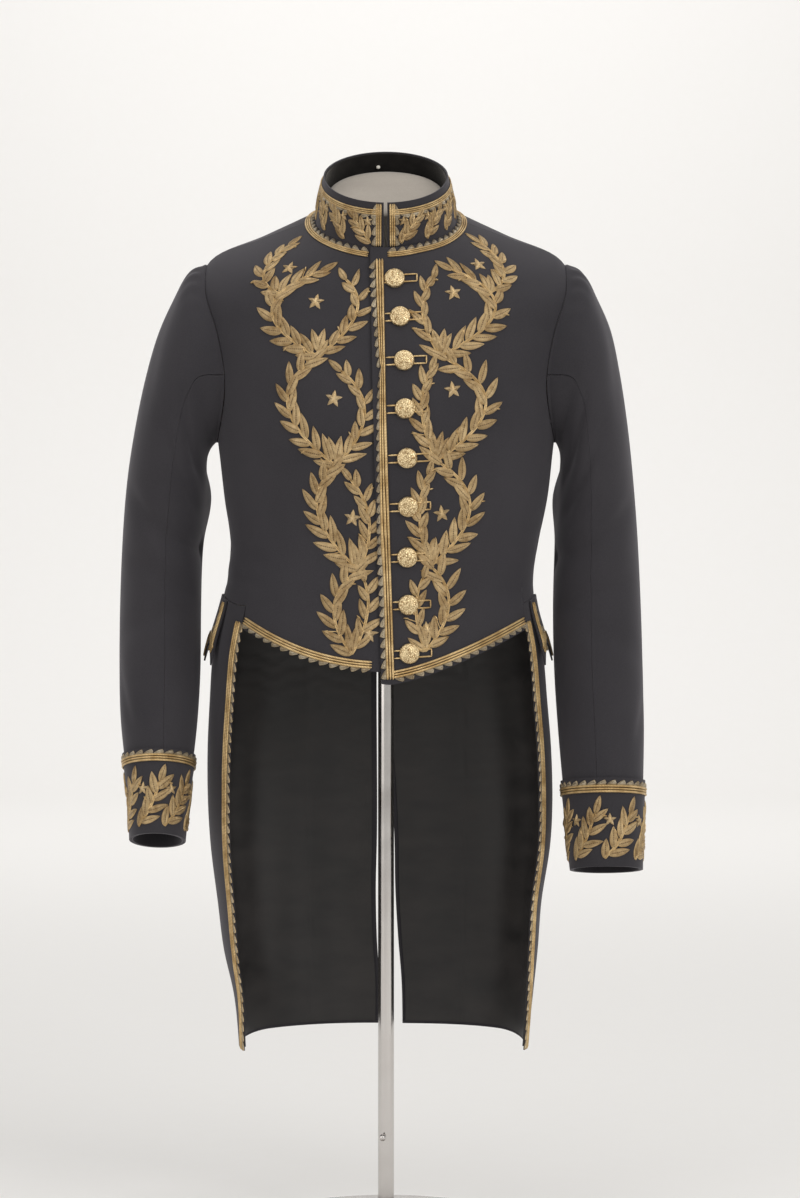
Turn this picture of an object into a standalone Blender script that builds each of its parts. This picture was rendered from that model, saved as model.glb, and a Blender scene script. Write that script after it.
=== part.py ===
"""A ceremonial tailcoat with gold laurel embroidery, standing on an armless dress form.

Metres, +Z up. The front faces -Y, +X is the wearer's left, and the origin is on the floor under the pole.
Every cloth piece is a wall laid over a smooth surface that is worked out from a short table of sections.
"""
import itertools
import math

import bmesh
import bpy
import numpy as np
from mathutils import Vector
from mathutils.bvhtree import BVHTree
from mathutils.geometry import delaunay_2d_cdt

# Cloth
CLOTH = 0.0018
LINING = 0.0010
SEAM = 0.0004
SEAM_ANGLE = 0.0026
TAIL_SEAM = 0.0012
LAYER_GAP = 0.0005
LAP_LIFT = 0.0029
LAP_TAPER = (0.030, 0.070)
LAP_NECK_DROP = 0.0020
UNDER_LAP_EDGE = 0.024
RELIEF = 0.0012
RELIEF_LOW = 0.0012
FRONT_RELIEF_LOW = 0.0018
TAIL_RELIEF_LOW = 0.0015
CUFF_RELIEF_LOW = 0.0027

# Sections of the body and the tails. "down" names a ring, counted down the side from the neckline.
# Each ring has a half width and a sideways shift, its front, side and back points, and its squareness.
#     down   half    shift    front_y  front_z side_y   side_z back_y  back_z power
BODY_RINGS = (
    (0.000, 0.0790, 0.0000, -0.0980, 1.100, -0.015, 1.1430, 0.0620, 1.183, 2.00),
    (0.065, 0.1400, 0.0000, -0.1080, 1.073, -0.014, 1.1210, 0.0790, 1.152, 2.00),
    (0.130, 0.1990, 0.0000, -0.1180, 1.045, -0.012, 1.0950, 0.0930, 1.114, 2.05),
    (0.155, 0.2110, 0.0000, -0.1220, 1.033, -0.011, 1.0740, 0.0980, 1.094, 2.10),
    (0.205, 0.2100, 0.0000, -0.1290, 1.000, -0.010, 1.0220, 0.1060, 1.045, 2.20),
    (0.270, 0.1985, 0.0000, -0.1340, 0.947, -0.008, 0.9570, 0.1110, 0.975, 2.30),
    (0.335, 0.1890, 0.0000, -0.1335, 0.888, -0.005, 0.8920, 0.1080, 0.900, 2.35),
    (0.397, 0.1820, 0.0000, -0.1260, 0.830, -0.002, 0.8300, 0.0990, 0.830, 2.35),
    (0.450, 0.1735, -0.0020, -0.1170, 0.777, 0.000, 0.7770, 0.0880, 0.777, 2.30),
    (0.482, 0.1725, -0.0060, -0.1150, 0.745, 0.001, 0.7450, 0.0885, 0.745, 2.25),
    (0.519, 0.1770, -0.0085, -0.1150, 0.708, 0.003, 0.7080, 0.0960, 0.708, 2.20),
    (0.567, 0.1860, -0.0090, -0.1170, 0.660, 0.006, 0.6600, 0.1080, 0.660, 2.20),
    (0.627, 0.1910, -0.0085, -0.1180, 0.600, 0.010, 0.6000, 0.1160, 0.600, 2.20),
    (0.682, 0.1945, -0.0075, -0.1180, 0.545, 0.014, 0.5450, 0.1210, 0.545, 2.20),
    (0.787, 0.1925, -0.0062, -0.1180, 0.440, 0.018, 0.4400, 0.1250, 0.440, 2.20),
    (0.855, 0.1830, -0.0070, -0.1180, 0.372, 0.018, 0.3720, 0.1250, 0.372, 2.20),
    (0.907, 0.1775, -0.0055, -0.1170, 0.320, 0.016, 0.3200, 0.1240, 0.320, 2.20),
    (0.957, 0.1690, -0.0025, -0.1150, 0.270, 0.012, 0.2700, 0.1230, 0.270, 2.20),
    (1.027, 0.1615, -0.0028, -0.1100, 0.200, 0.006, 0.2000, 0.1220, 0.200, 2.20),
)
DOWN, HALF, SHIFT, FRONT_Y, FRONT_Z, SIDE_Y, SIDE_Z, BACK_Y, BACK_Z, POWER = range(10)

# The armhole is an oval in the side of the body: its centre and half height along "down", and its
# half widths as angles to the front and to the back of the side line.
ARMHOLE_DOWN = 0.235
ARMHOLE_HALF = 0.100
ARMHOLE_FRONT = math.radians(30)
ARMHOLE_BACK = math.radians(28)
ARMHOLE_STEPS = 14
SHOULDER_ROWS = 3
FRONT_COLUMNS = 7

# Front edges and hems. The lapping edge runs from the neckline to the point of the hem.
LAP_EDGE = ((1.100, -0.0168), (0.922, -0.0135), (0.758, -0.0086), (0.610, -0.0040))
HEM_LOW = {-1: 0.6340, 1: 0.6225}
HEM_RISE = {-1: 0.0500, 1: 0.0620}
HEM_CURVE = {-1: 2.1, 1: 1.4}
HEM_REACH = 0.160
HEM_END_Z = 0.6875
WAIST_SEAM = (0.7090, 0.7225)
TAIL_CORNER = {-1: math.radians(53.5), 1: math.radians(64.0)}
#        z     front edge of the right tail and of the left tail, in degrees from the centre front
TAIL_EDGE = (
    (0.7200, 53.5, 64.0),
    (0.4900, 57.0, 64.5),
    (0.3200, 62.0, 67.5),
    (0.2200, 72.5, 75.0),
    (0.2000, 73.0, 75.5),
)
TAIL_HEM_FRONT = 0.2105
TAIL_HEM_BACK = 0.2190
VENT_EDGE = {-1: (0.0006, 0.0040), 1: (0.0006, 0.0150)}
LINING_INSET = 0.07
TAIL_WALL = 0.0015
TAIL_COLUMNS = 11

# Sleeve sections, from just outside the armhole to the wrist: the crown point, the point under the arm,
# the middle in depth, the half depth and the forward tilt in degrees.
#     along  crown_x crown_z under_x under_z centre_y depth  tilt
RIGHT_SLEEVE = (
    (0.0, 0.2110, 1.088, 0.1910, 0.8930, -0.0110, 0.0680, 0.0),
    (1.0, 0.2225, 1.082, 0.1955, 0.8880, -0.0120, 0.0715, 0.0),
    (2.0, 0.2390, 1.053, 0.1990, 0.8820, -0.0120, 0.0735, 0.0),
    (3.0, 0.2565, 1.013, 0.2015, 0.8740, -0.0110, 0.0740, 0.0),
    (4.0, 0.2710, 0.962, 0.2030, 0.8600, -0.0090, 0.0730, 0.0),
    (5.0, 0.2830, 0.905, 0.2040, 0.8380, -0.0060, 0.0715, 0.0),
    (6.0, 0.2920, 0.848, 0.2060, 0.8080, -0.0010, 0.0700, 0.0),
    (7.0, 0.2975, 0.785, 0.2085, 0.7650, 0.0040, 0.0680, 0.0),
    (8.0, 0.3005, 0.712, 0.2095, 0.7040, 0.0050, 0.0650, 1.0),
    (9.0, 0.3005, 0.640, 0.2095, 0.6370, -0.0040, 0.0600, 5.0),
    (10.0, 0.2980, 0.585, 0.2115, 0.5840, -0.0180, 0.0550, 9.0),
    (11.0, 0.2925, 0.539, 0.2155, 0.5390, -0.0300, 0.0500, 12.0),
    (12.0, 0.2850, 0.490, 0.2215, 0.4900, -0.0430, 0.0465, 14.0),
    (13.0, 0.2825, 0.448, 0.2245, 0.4480, -0.0550, 0.0440, 15.0),
)
LEFT_SLEEVE = (
    (0.0, 0.2110, 1.088, 0.1910, 0.8930, -0.0110, 0.0680, 0.0),
    (1.0, 0.2225, 1.082, 0.1935, 0.8880, -0.0120, 0.0715, 0.0),
    (2.0, 0.2370, 1.056, 0.1955, 0.8820, -0.0120, 0.0735, 0.0),
    (3.0, 0.2530, 1.018, 0.1965, 0.8740, -0.0110, 0.0740, 0.0),
    (4.0, 0.2635, 0.968, 0.1965, 0.8600, -0.0090, 0.0730, 0.0),
    (5.0, 0.2720, 0.912, 0.1960, 0.8380, -0.0060, 0.0715, 0.0),
    (6.0, 0.2785, 0.855, 0.1945, 0.8080, -0.0010, 0.0700, 0.0),
    (7.0, 0.2840, 0.790, 0.1910, 0.7650, 0.0040, 0.0680, 0.0),
    (8.0, 0.2878, 0.715, 0.1890, 0.7040, 0.0050, 0.0650, 0.0),
    (9.0, 0.2898, 0.640, 0.1900, 0.6370, 0.0000, 0.0610, 2.0),
    (10.0, 0.2905, 0.575, 0.1935, 0.5740, -0.0090, 0.0560, 5.0),
    (11.0, 0.2885, 0.509, 0.1985, 0.5090, -0.0220, 0.0520, 8.0),
    (12.0, 0.2860, 0.458, 0.2035, 0.4580, -0.0310, 0.0485, 9.0),
    (13.0, 0.2845, 0.414, 0.2075, 0.4140, -0.0400, 0.0460, 10.0),
)
SLEEVES = {-1: RIGHT_SLEEVE, 1: LEFT_SLEEVE}
CROWN_X, CROWN_Z, UNDER_X, UNDER_Z, CENTRE_Y, DEPTH, TILT = range(1, 8)
SLEEVE_END = 13.0
CUFF_TOP = 10.95
SLEEVE_ROWS = (-0.6, 0.0, 1.0, 2.0, 3.5, 5.0, 6.5, 8.0, 9.5, CUFF_TOP, 12.0, SLEEVE_END)
CUFF_PROUD = 0.0023
ELBOW_BULGE = 0.016
TOP_SLEEVE_STEPS = 4

# Collar
COLLAR_HEIGHT = (0.049, 0.053)
COLLAR_AXIS = (0.0, -0.46, 0.888)
COLLAR_LEAN = 0.0095
COLLAR_WALL = 0.0026
COLLAR_END = math.radians(1.6)
COLLAR_STEPS = 26

# Buttons down the lapping front
BUTTON_PLACES = (
    (0.0098, 1.0640),
    (0.0158, 1.0217),
    (0.0201, 0.9740),
    (0.0212, 0.9220),
    (0.0234, 0.8689),
    (0.0245, 0.8168),
    (0.0234, 0.7615),
    (0.0245, 0.7095),
    (0.0256, 0.6564),
)
BUTTON_RADIUS = 0.0112
BUTTON_HEIGHT = 0.0066
BUTTON_CLEAR = 0.0010
BUTTON_SEAT = 0.0003
SEAT_SEARCH = 0.0080

# Braid and embroidery
BRAID = 0.0085
BRAID_MARGIN = 0.0006
NECK_BRAID = 0.0065
NECK_BRAID_START = {-1: 0.0180, 1: 0.0020}
COLLAR_BRAID = 0.0065
LAP_CLEAR = 0.0012
TOOTH_PITCH = 0.0126
TOOTH_DEPTH = 0.0052
STEM = 0.0022
LEAF_LENGTH = 0.0285
LEAF_WIDTH = 0.0088
LEAF_PITCH = 0.0240
LEAF_SPREAD = math.radians(38)
STAR_RADIUS = 0.0098
SMALL_STEP = 0.0007
SMALL_HOLE = 1.2e-5
PATCH_RADIUS = 0.0009
PATCH_ROUNDS = 5
# Each cell of the fronts' ornament: the crossing below it, how far its outer and inner stems bow, its star.
#    node_x   node_z  outer_x  inner_x  star_x   star_z
CELLS = {
    -1: (
        (-0.0364, 0.6600, -0.0500, None, -0.0220, 0.6860),
        (-0.0290, 0.7475, -0.0734, -0.0190, -0.0400, 0.8008),
        (-0.0538, 0.8607, -0.1060, -0.0270, -0.0580, 0.9237),
        (-0.0734, 0.9792, -0.1240, -0.0330, -0.0760, 1.0290),
        (-0.0620, 1.0740, None, None, None, None),
    ),
    1: (
        (0.0430, 0.6630, 0.0690, None, 0.0470, 0.6900),
        (0.0484, 0.7519, 0.0920, 0.0390, 0.0610, 0.8063),
        (0.0550, 0.8661, 0.1090, 0.0400, 0.0700, 0.9335),
        (0.0593, 0.9792, 0.1200, 0.0400, 0.0740, 1.0379),
        (0.0640, 1.0760, None, None, None, None),
    ),
}
NODE_X, NODE_Z, OUTER_X, INNER_X, STAR_X, STAR_Z = range(6)
# A spray over the shoulder leaves the top cell's outer stem at this share of it, and bows to its tip.
SPRAY_START = 8
SHOULDER_SPRAY = {
    -1: ((-0.1340, 1.0740), (-0.1080, 1.1080)),
    1: ((0.1300, 1.0780), (0.1040, 1.1120)),
}
SHOULDER_STAR = {-1: (-0.1060, 1.0800), 1: (0.1020, 1.0840)}

FLAP_STAND_OFF = {-1: 0.0075, 1: 0.0080}

# Dress form, pole and base
FORM_GAP = ((0.0, 0.0036), (0.20, 0.0040), (0.30, 0.0060), (0.45, 0.0100), (0.53, 0.0110))
FORM_BOTTOM = 0.700
FORM_STEPS = 20
FORM_RINGS = (0.175, 0.235, 0.295, 0.345, 0.400, 0.450, 0.490)
NECK_HEIGHT = 0.030
NECK_HALF = 0.0640
NECK_CAP = 0.003
TOUCH = 0.0003
POLE_RADIUS = 0.009
SOCKET_RADIUS = 0.021
SOCKET_HEIGHT = 0.030
BASE_RADIUS = 0.150
BASE_HEIGHT = 0.012
KNOB_HEIGHT = 0.110
KNOB_RADIUS = 0.0040

COLOURS = {
    "cloth": ((0.012, 0.012, 0.018, 1.0), 0.85, 0.0),
    "lining": ((0.006, 0.006, 0.007, 1.0), 0.45, 0.0),
    "velvet": ((0.010, 0.009, 0.010, 1.0), 0.90, 0.0),
    "gold_thread": ((0.56, 0.39, 0.19, 1.0), 0.42, 0.8),
    "button_gilt": ((0.80, 0.66, 0.40, 1.0), 0.30, 0.9),
    "form_grey": ((0.26, 0.25, 0.23, 1.0), 0.80, 0.0),
    "chrome": ((0.72, 0.72, 0.72, 1.0), 0.12, 1.0),
}


def clear_scene():
    for item in list(bpy.data.objects):
        bpy.data.objects.remove(item, do_unlink=True)


def new_collection():
    collection = bpy.data.collections.new("tailcoat_on_dress_form")
    bpy.context.scene.collection.children.link(collection)
    return collection


def material_for(name, finish):
    colour, roughness, metallic = COLOURS[finish]
    material = bpy.data.materials.new(name)
    material.use_nodes = True
    shader = material.node_tree.nodes["Principled BSDF"]
    shader.inputs["Base Color"].default_value = colour
    shader.inputs["Roughness"].default_value = roughness
    shader.inputs["Metallic"].default_value = metallic
    return material


def smooth_rows(rows, at):
    """Every column of a table at given first-column values, by cubic curves through the rows."""
    table = np.array(rows, float)
    knots, values = table[:, 0], table[:, 1:]
    slopes = np.gradient(values, knots, axis=0)
    at = np.asarray(at, float)
    low = np.clip(np.searchsorted(knots, at, side="right") - 1, 0, len(knots) - 2)
    step = (knots[low + 1] - knots[low])[..., None]
    s = np.clip((at - knots[low])[..., None] / step, -0.05, 1.05)
    start, end = values[low], values[low + 1]
    return (
        (2 * s**3 - 3 * s**2 + 1) * start
        + (s**3 - 2 * s**2 + s) * step * slopes[low]
        + (3 * s**2 - 2 * s**3) * end
        + (s**3 - s**2) * step * slopes[low + 1]
    )


def ease(value, low, high):
    s = np.clip((np.asarray(value, float) - low) / (high - low), 0.0, 1.0)
    return s * s * (3 - 2 * s)


def body_surface(angle, down):
    """The coat's outer surface: angle 0 is the centre front and a quarter turn is the wearer's left side."""
    angle, down = np.broadcast_arrays(np.asarray(angle, float), np.asarray(down, float))
    ring = smooth_rows(BODY_RINGS, down)
    half, shift, front_y, front_z, side_y, side_z, back_y, back_z, power = np.moveaxis(ring, -1, 0)
    sine, cosine = np.sin(angle), np.cos(angle)
    across = np.sign(sine) * np.abs(sine) ** (2 / power)
    along = np.abs(cosine) ** (2 / power)
    end_y = np.where(cosine > 0, front_y, back_y)
    end_z = np.where(cosine > 0, front_z, back_z)
    return np.stack(
        (shift + half * across, side_y + (end_y - side_y) * along, side_z + (end_z - side_z) * along),
        axis=-1,
    )


def lap_lift(points):
    """How far the lapping front stands off the front under it."""
    return LAP_LIFT * (1 - ease(points[..., 0], *LAP_TAPER))


def lapping_surface(angle, down):
    points = body_surface(angle, down)
    return points + outward(body_surface, angle, down) * lap_lift(points)[..., None]


def outward(surface, a, b):
    """The unit normal that points out of a surface of two parameters."""
    step = 2e-4
    along_a = surface(a + step, b) - surface(a - step, b)
    along_b = surface(a, b + step) - surface(a, b - step)
    normal = np.cross(along_b, along_a)
    return normal / np.linalg.norm(normal, axis=-1, keepdims=True)


def placed(surface, a, b, lift):
    a, b = np.broadcast_arrays(np.asarray(a, float), np.asarray(b, float))
    lift = np.broadcast_to(np.asarray(lift, float), a.shape)
    return surface(a, b) + outward(surface, a, b) * lift[..., None]


def down_at(z):
    """The ring below the chest whose height is z."""
    low, high = np.full(np.shape(z), 0.40), np.full(np.shape(z), 1.027)
    for _ in range(40):
        middle = (low + high) / 2
        above = smooth_rows(BODY_RINGS, middle)[..., SIDE_Z - 1] > z
        low, high = np.where(above, middle, low), np.where(above, high, middle)
    return (low + high) / 2


def front_place(x, z):
    """The angle and ring of the front's point that is seen at x and z from straight ahead."""
    x, z = np.broadcast_arrays(np.asarray(x, float), np.asarray(z, float))
    low, high = np.zeros(x.shape), np.full(x.shape, 0.66)
    for _ in range(40):
        middle = (low + high) / 2
        ring = smooth_rows(BODY_RINGS, middle)
        share = np.clip(np.abs(x - ring[..., SHIFT - 1]) / ring[..., HALF - 1], 0, 1)
        along = (1 - share ** ring[..., POWER - 1]) ** (1 / ring[..., POWER - 1])
        height = ring[..., SIDE_Z - 1] + (ring[..., FRONT_Z - 1] - ring[..., SIDE_Z - 1]) * along
        above = height > z
        low, high = np.where(above, middle, low), np.where(above, high, middle)
    down = (low + high) / 2
    ring = smooth_rows(BODY_RINGS, down)
    offset = x - ring[..., SHIFT - 1]
    share = np.clip(np.abs(offset) / ring[..., HALF - 1], 0, 1)
    return np.sign(offset) * np.arcsin(share ** (ring[..., POWER - 1] / 2)), down


def sleeve_surface(side):
    """The sleeve as a function of turn (0 at the crown, rising towards the wearer's left) and place along it."""
    rows = SLEEVES[side]

    def oval(turn, along):
        ring = smooth_rows(rows, along)
        crown_x, crown_z = ring[..., CROWN_X - 1], ring[..., CROWN_Z - 1]
        under_x, under_z = ring[..., UNDER_X - 1], ring[..., UNDER_Z - 1]
        tilt = np.radians(ring[..., TILT - 1])
        up = np.cos(turn) / 2
        front = np.sin(turn) * ring[..., DEPTH - 1]
        bulge = ELBOW_BULGE * np.exp(-(((along - 5.6) / 1.3) ** 2) - ((turn - 1.28 * math.pi) / 0.55) ** 2)
        x = (crown_x + under_x) / 2 + (crown_x - under_x) * up - bulge
        y = ring[..., CENTRE_Y - 1] - front * np.cos(tilt)
        z = (crown_z + under_z) / 2 + (crown_z - under_z) * up + front * np.sin(tilt)
        return np.stack((side * x, y, z), axis=-1)

    def armhole(turn):
        front = np.sin(turn) > 0
        width = np.where(front, ARMHOLE_FRONT, ARMHOLE_BACK) * (1 - 0.0090)
        angle = math.pi / 2 - width * np.sin(turn)
        down = ARMHOLE_DOWN - (ARMHOLE_HALF - 0.0007) * np.cos(turn)
        return placed(body_surface, side * angle, down, 0.0028)

    def surface(turn, along):
        turn, along = np.broadcast_arrays(np.asarray(turn, float), np.asarray(along, float))
        turn = np.mod(-side * turn, 2 * math.pi)
        near = (1 - ease(along, -0.2, 1.6))[..., None]
        points = oval(turn, np.clip(along, 0, None))
        points = points + near * (armhole(turn) - oval(turn, np.zeros(turn.shape)))
        inside = np.clip(-along, 0, 1)[..., None]
        return points - inside * np.array((side * 0.0040, 0.0, 0.0))

    return surface


def collar_surface(angle, drop):
    """The stand collar: drop 0 is the top edge and 1 the neckline."""
    angle, drop = np.broadcast_arrays(np.asarray(angle, float), np.asarray(drop, float))
    share = 1 - drop
    foot = body_surface(angle, np.zeros(angle.shape))
    back = (1 - np.cos(angle)) / 2
    height = COLLAR_HEIGHT[0] + (COLLAR_HEIGHT[1] - COLLAR_HEIGHT[0]) * back
    centre = body_surface(np.array((0.0, math.pi)), np.zeros(2)).mean(axis=0)
    inward = centre - foot
    inward = inward / np.linalg.norm(inward, axis=-1, keepdims=True)
    axis = np.array(COLLAR_AXIS)
    rise = (SEAM + height * share)[..., None]
    return foot + axis * rise + inward * (COLLAR_LEAN * np.abs(share) ** 1.3)[..., None]


def closed_wall(collection, name, outer, inner, finish, ring=False):
    """A wall between two grids of points; a ring's last column joins its first."""
    rows, columns = outer.shape[:2]
    points = np.concatenate((outer.reshape(-1, 3), inner.reshape(-1, 3)))
    count = rows * columns

    def at(row, column, layer):
        return layer * count + row * columns + column % columns

    faces = []
    last = columns if ring else columns - 1
    for row in range(rows - 1):
        for column in range(last):
            corners = ((row, column), (row, column + 1), (row + 1, column + 1), (row + 1, column))
            faces.append([at(r, c, 0) for r, c in corners])
            faces.append([at(r, c, 1) for r, c in reversed(corners)])
    for column in range(last):
        for row, turn in ((0, 1), (rows - 1, -1)):
            rim = [at(row, column, 0), at(row, column, 1), at(row, column + 1, 1), at(row, column + 1, 0)]
            faces.append(rim[::turn])
    if not ring:
        for row in range(rows - 1):
            for column, turn in ((0, -1), (columns - 1, 1)):
                rim = [at(row, column, 0), at(row, column, 1), at(row + 1, column, 1), at(row + 1, column, 0)]
                faces.append(rim[::turn])
    return solid_from(collection, name, points, faces, finish)


def solid_from(collection, name, points, faces, finish):
    mesh = bpy.data.meshes.new(name)
    mesh.from_pydata([tuple(point) for point in points], [], faces)
    work = bmesh.new()
    work.from_mesh(mesh)
    bmesh.ops.triangulate(work, faces=work.faces[:])
    if work.calc_volume(signed=True) < 0:
        bmesh.ops.reverse_faces(work, faces=work.faces[:])
    work.to_mesh(mesh)
    work.free()
    mesh.materials.append(material_for(name, finish))
    thing = bpy.data.objects.new(name, mesh)
    collection.objects.link(thing)
    return thing


def joined_loops(outlines, scale, hidden):
    """The edges of the area that the outlines cover together, as closed loops without tiny steps or holes.

    What lies in the hidden outline is left out.
    """
    corners, faces = [], []
    for outline in list(outlines) + ([] if hidden is None else [hidden]):
        start = len(corners)
        flat = np.asarray(outline, float) * scale
        corners.extend(Vector(point) for point in (flat if area_of(flat) > 0 else flat[::-1]))
        faces.append(list(range(start, len(corners))))
    flat, _, triangles, _, _, covers = delaunay_2d_cdt(corners, [], faces, 1, 1e-5)
    flat = np.array([tuple(point) for point in flat])
    left_out = None if hidden is None else len(faces) - 1
    triangles = [triangle for triangle, cover in zip(triangles, covers) if cover and left_out not in cover]
    edges = set()
    for triangle in triangles:
        edges.update(zip(triangle, list(triangle[1:]) + [triangle[0]]))
    following = {}
    for start, end in sorted(edges):
        if (end, start) not in edges:
            following.setdefault(start, []).append(end)
    loops = []
    for loop in closed_loops(following):
        points = without_small_steps(flat[loop])
        if len(points) > 2 and abs(area_of(points)) > SMALL_HOLE:
            loops.append(points)
    return sorted(loops, key=lambda points: -area_of(points))


def closed_loops(following):
    """Loops of corners from the corners that follow each one; a loop ends where it first meets itself."""
    loops = []
    while following:
        corner, trail = min(following), []
        while True:
            if corner in trail:
                start = trail.index(corner)
                loops.append(trail[start:])
                trail = trail[:start]
            if corner not in following:
                break
            trail.append(corner)
            ahead = following[corner].pop()
            if not following[corner]:
                del following[corner]
            corner = ahead
    return loops


def filled(loops):
    """The loops' inside as flat triangles, holes left open."""
    corners, faces = [], []
    for loop in loops:
        start = len(corners)
        corners.extend(Vector(point) for point in loop)
        face = list(range(start, len(corners)))
        faces.append(face if area_of(loop) > 0 else face[::-1])
    flat, _, triangles, _, _, covers = delaunay_2d_cdt(corners, [], faces, 1, 1e-5)
    triangles = [triangle for triangle, cover in zip(triangles, covers) if len(cover) == 1]
    return np.array([tuple(point) for point in flat]), triangles


def pinched_corners(triangles):
    """Corners where the area only touches itself, which a small patch then joins."""
    edges = set()
    for triangle in triangles:
        edges.update(zip(triangle, list(triangle[1:]) + [triangle[0]]))
    starts = sorted(start for start, end in edges if (end, start) not in edges)
    return [corner for corner, following in zip(starts, starts[1:]) if corner == following]


def area_of(points):
    ahead = np.roll(points, -1, axis=0)
    return float((points[:, 0] * ahead[:, 1] - points[:, 1] * ahead[:, 0]).sum()) / 2


def without_small_steps(points):
    kept = []
    for point in points:
        if not kept or np.linalg.norm(point - kept[-1]) > SMALL_STEP:
            kept.append(point)
    while len(kept) > 2 and np.linalg.norm(kept[0] - kept[-1]) <= SMALL_STEP:
        kept.pop()
    return np.array(kept)


def applique(collection, name, surface, outlines, scale=(0.18, 1.0), hidden=None, low=RELIEF_LOW):
    """Flat outlines joined into one and laid on a surface as a raised solid.

    The outlines are in the surface's own two parameters; scale turns those into lengths for the joining.
    """
    scale = np.array(scale)
    outlines = list(outlines)
    for _ in range(PATCH_ROUNDS):
        flat, triangles = filled(joined_loops(outlines, scale, hidden))
        pinched = pinched_corners(triangles)
        if not pinched:
            break
        turns = np.arange(6) * math.pi / 3
        patch = PATCH_RADIUS * np.column_stack((np.cos(turns), np.sin(turns)))
        outlines += [(flat[corner] + patch) / scale for corner in pinched]
    flat = flat / scale
    count = len(flat)
    top = placed(surface, flat[:, 0], flat[:, 1], low + RELIEF)
    bottom = placed(surface, flat[:, 0], flat[:, 1], low)
    solid, edges = [], set()
    for triangle in triangles:
        solid.append(list(triangle))
        solid.append([count + corner for corner in reversed(triangle)])
        edges.update(zip(triangle, list(triangle[1:]) + [triangle[0]]))
    for start, end in sorted(edges):
        if (end, start) not in edges:
            solid.append([end, start, count + start, count + end])
    return solid_from(collection, name, np.concatenate((top, bottom)), solid, "gold_thread")


def armhole_reach(down, side_width):
    """How far the panel reaches towards the side line on each ring: less where the armhole is."""
    from_centre = np.clip(np.abs(down - ARMHOLE_DOWN) / ARMHOLE_HALF, 0, 1)
    return side_width * np.sqrt(1 - from_centre**2)


def panel_rings():
    """Ring values from the neckline to just below the waist, close together at the ends of the armhole."""
    top = ARMHOLE_DOWN - ARMHOLE_HALF
    yoke = np.linspace(0, top, SHOULDER_ROWS + 1)[:-1]
    turns = np.linspace(0, math.pi, ARMHOLE_STEPS // 2 + 1)
    sides = ARMHOLE_DOWN - ARMHOLE_HALF * np.cos(turns)
    return np.concatenate((yoke, sides, (0.378, 0.416, 0.450, 0.484)))


def lap_edge_x(z):
    rows = sorted(LAP_EDGE)
    return np.interp(z, [row[0] for row in rows], [row[1] for row in rows])


def waist_seam_z(angle):
    """The seam between the body and the tails rises from the tail's corner to the side and stays there."""
    rise = ease(np.degrees(np.abs(angle)), 54, 92)
    return WAIST_SEAM[0] + (WAIST_SEAM[1] - WAIST_SEAM[0]) * rise


def hem_z(side, angle):
    """The front's lower edge, up to the corner where the tail begins."""
    z = np.full(np.shape(angle), HEM_LOW[side])
    for _ in range(4):
        x = np.abs(body_surface(angle, down_at(z))[..., 0])
        z = HEM_LOW[side] + HEM_RISE[side] * (x / HEM_REACH) ** HEM_CURVE[side]
    return np.minimum(z, HEM_END_Z)


def front_angles(side, columns):
    """Column angles of a front at its hem: from the front edge to the tail's corner, then to the side."""
    corner = TAIL_CORNER[side]
    seam = SEAM_ANGLE
    first = np.linspace(0, 1, columns)
    second = np.linspace(0, 1, 3)
    return first * corner, corner + math.radians(0.5) + second * (math.pi / 2 - seam - corner - math.radians(0.5))


def front_grid(side):
    """Angles (without sign) and rings of a front panel's points."""
    near, far = front_angles(side, FRONT_COLUMNS)
    at_hem = np.concatenate((near, far))
    bottom = np.concatenate((hem_z(side, side * near), waist_seam_z(far)))
    bottom_down = down_at(bottom)
    rings = panel_rings()
    share = at_hem / at_hem[-1]
    angles, downs = [], []
    for ring in rings:
        reach = math.pi / 2 - armhole_reach(ring, ARMHOLE_FRONT) - SEAM_ANGLE
        angles.append(share * reach)
        downs.append(np.full(share.shape, ring))
    for part in (0.34, 0.68, 1.0):
        angles.append(at_hem)
        downs.append(rings[-1] + (bottom_down - rings[-1]) * part)
    return np.array(angles), np.array(downs)


def with_front_edge(side, angles, downs, surface):
    """The same grid with its first column moved to the front edge, and the next ones spread from there."""
    points = surface(side * angles[:, 0], downs[:, 0])
    edge_x = lap_edge_x(points[:, 2]) if side > 0 else np.full(len(points), UNDER_LAP_EDGE)
    edge, _ = front_place(edge_x, points[:, 2])
    last = angles[:, FRONT_COLUMNS - 1 : FRONT_COLUMNS]
    share = angles / last
    moved = edge[:, None] + (side * last - edge[:, None]) * share
    return np.where(share <= 1.0, moved, side * angles)


def add_fronts(collection):
    for side, name, surface in ((-1, "right_front", body_surface), (1, "left_front", lapping_surface)):
        angles, downs = front_grid(side)
        angles = with_front_edge(side, angles, downs, body_surface)
        downs[0] += LAP_NECK_DROP if side > 0 else 0.0
        outer = placed(surface, angles, downs, 0.0)
        inner = placed(surface, angles, downs, -CLOTH)
        panel = closed_wall(collection, name, outer, inner, "cloth")
    return panel


def add_backs(collection):
    seam = SEAM_ANGLE
    for side, name in ((-1, "right_back"), (1, "left_back")):
        rings = panel_rings()
        angles, downs = [], []
        share = np.linspace(0, 1, 7)
        for ring in rings:
            start = math.pi / 2 + armhole_reach(ring, ARMHOLE_BACK) + seam
            angles.append(start + (math.pi - seam - start) * share)
            downs.append(np.full(share.shape, ring))
        start = math.pi / 2 + seam
        at_hem = start + (math.pi - seam - start) * share
        bottom = down_at(waist_seam_z(at_hem))
        for part in (0.5, 1.0):
            angles.append(at_hem)
            downs.append(rings[-1] + (bottom - rings[-1]) * part)
        angles, downs = np.array(angles) * side, np.array(downs)
        outer = placed(body_surface, angles, downs, 0.0)
        inner = placed(body_surface, angles, downs, -CLOTH)
        closed_wall(collection, name, outer, inner, "cloth")


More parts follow.
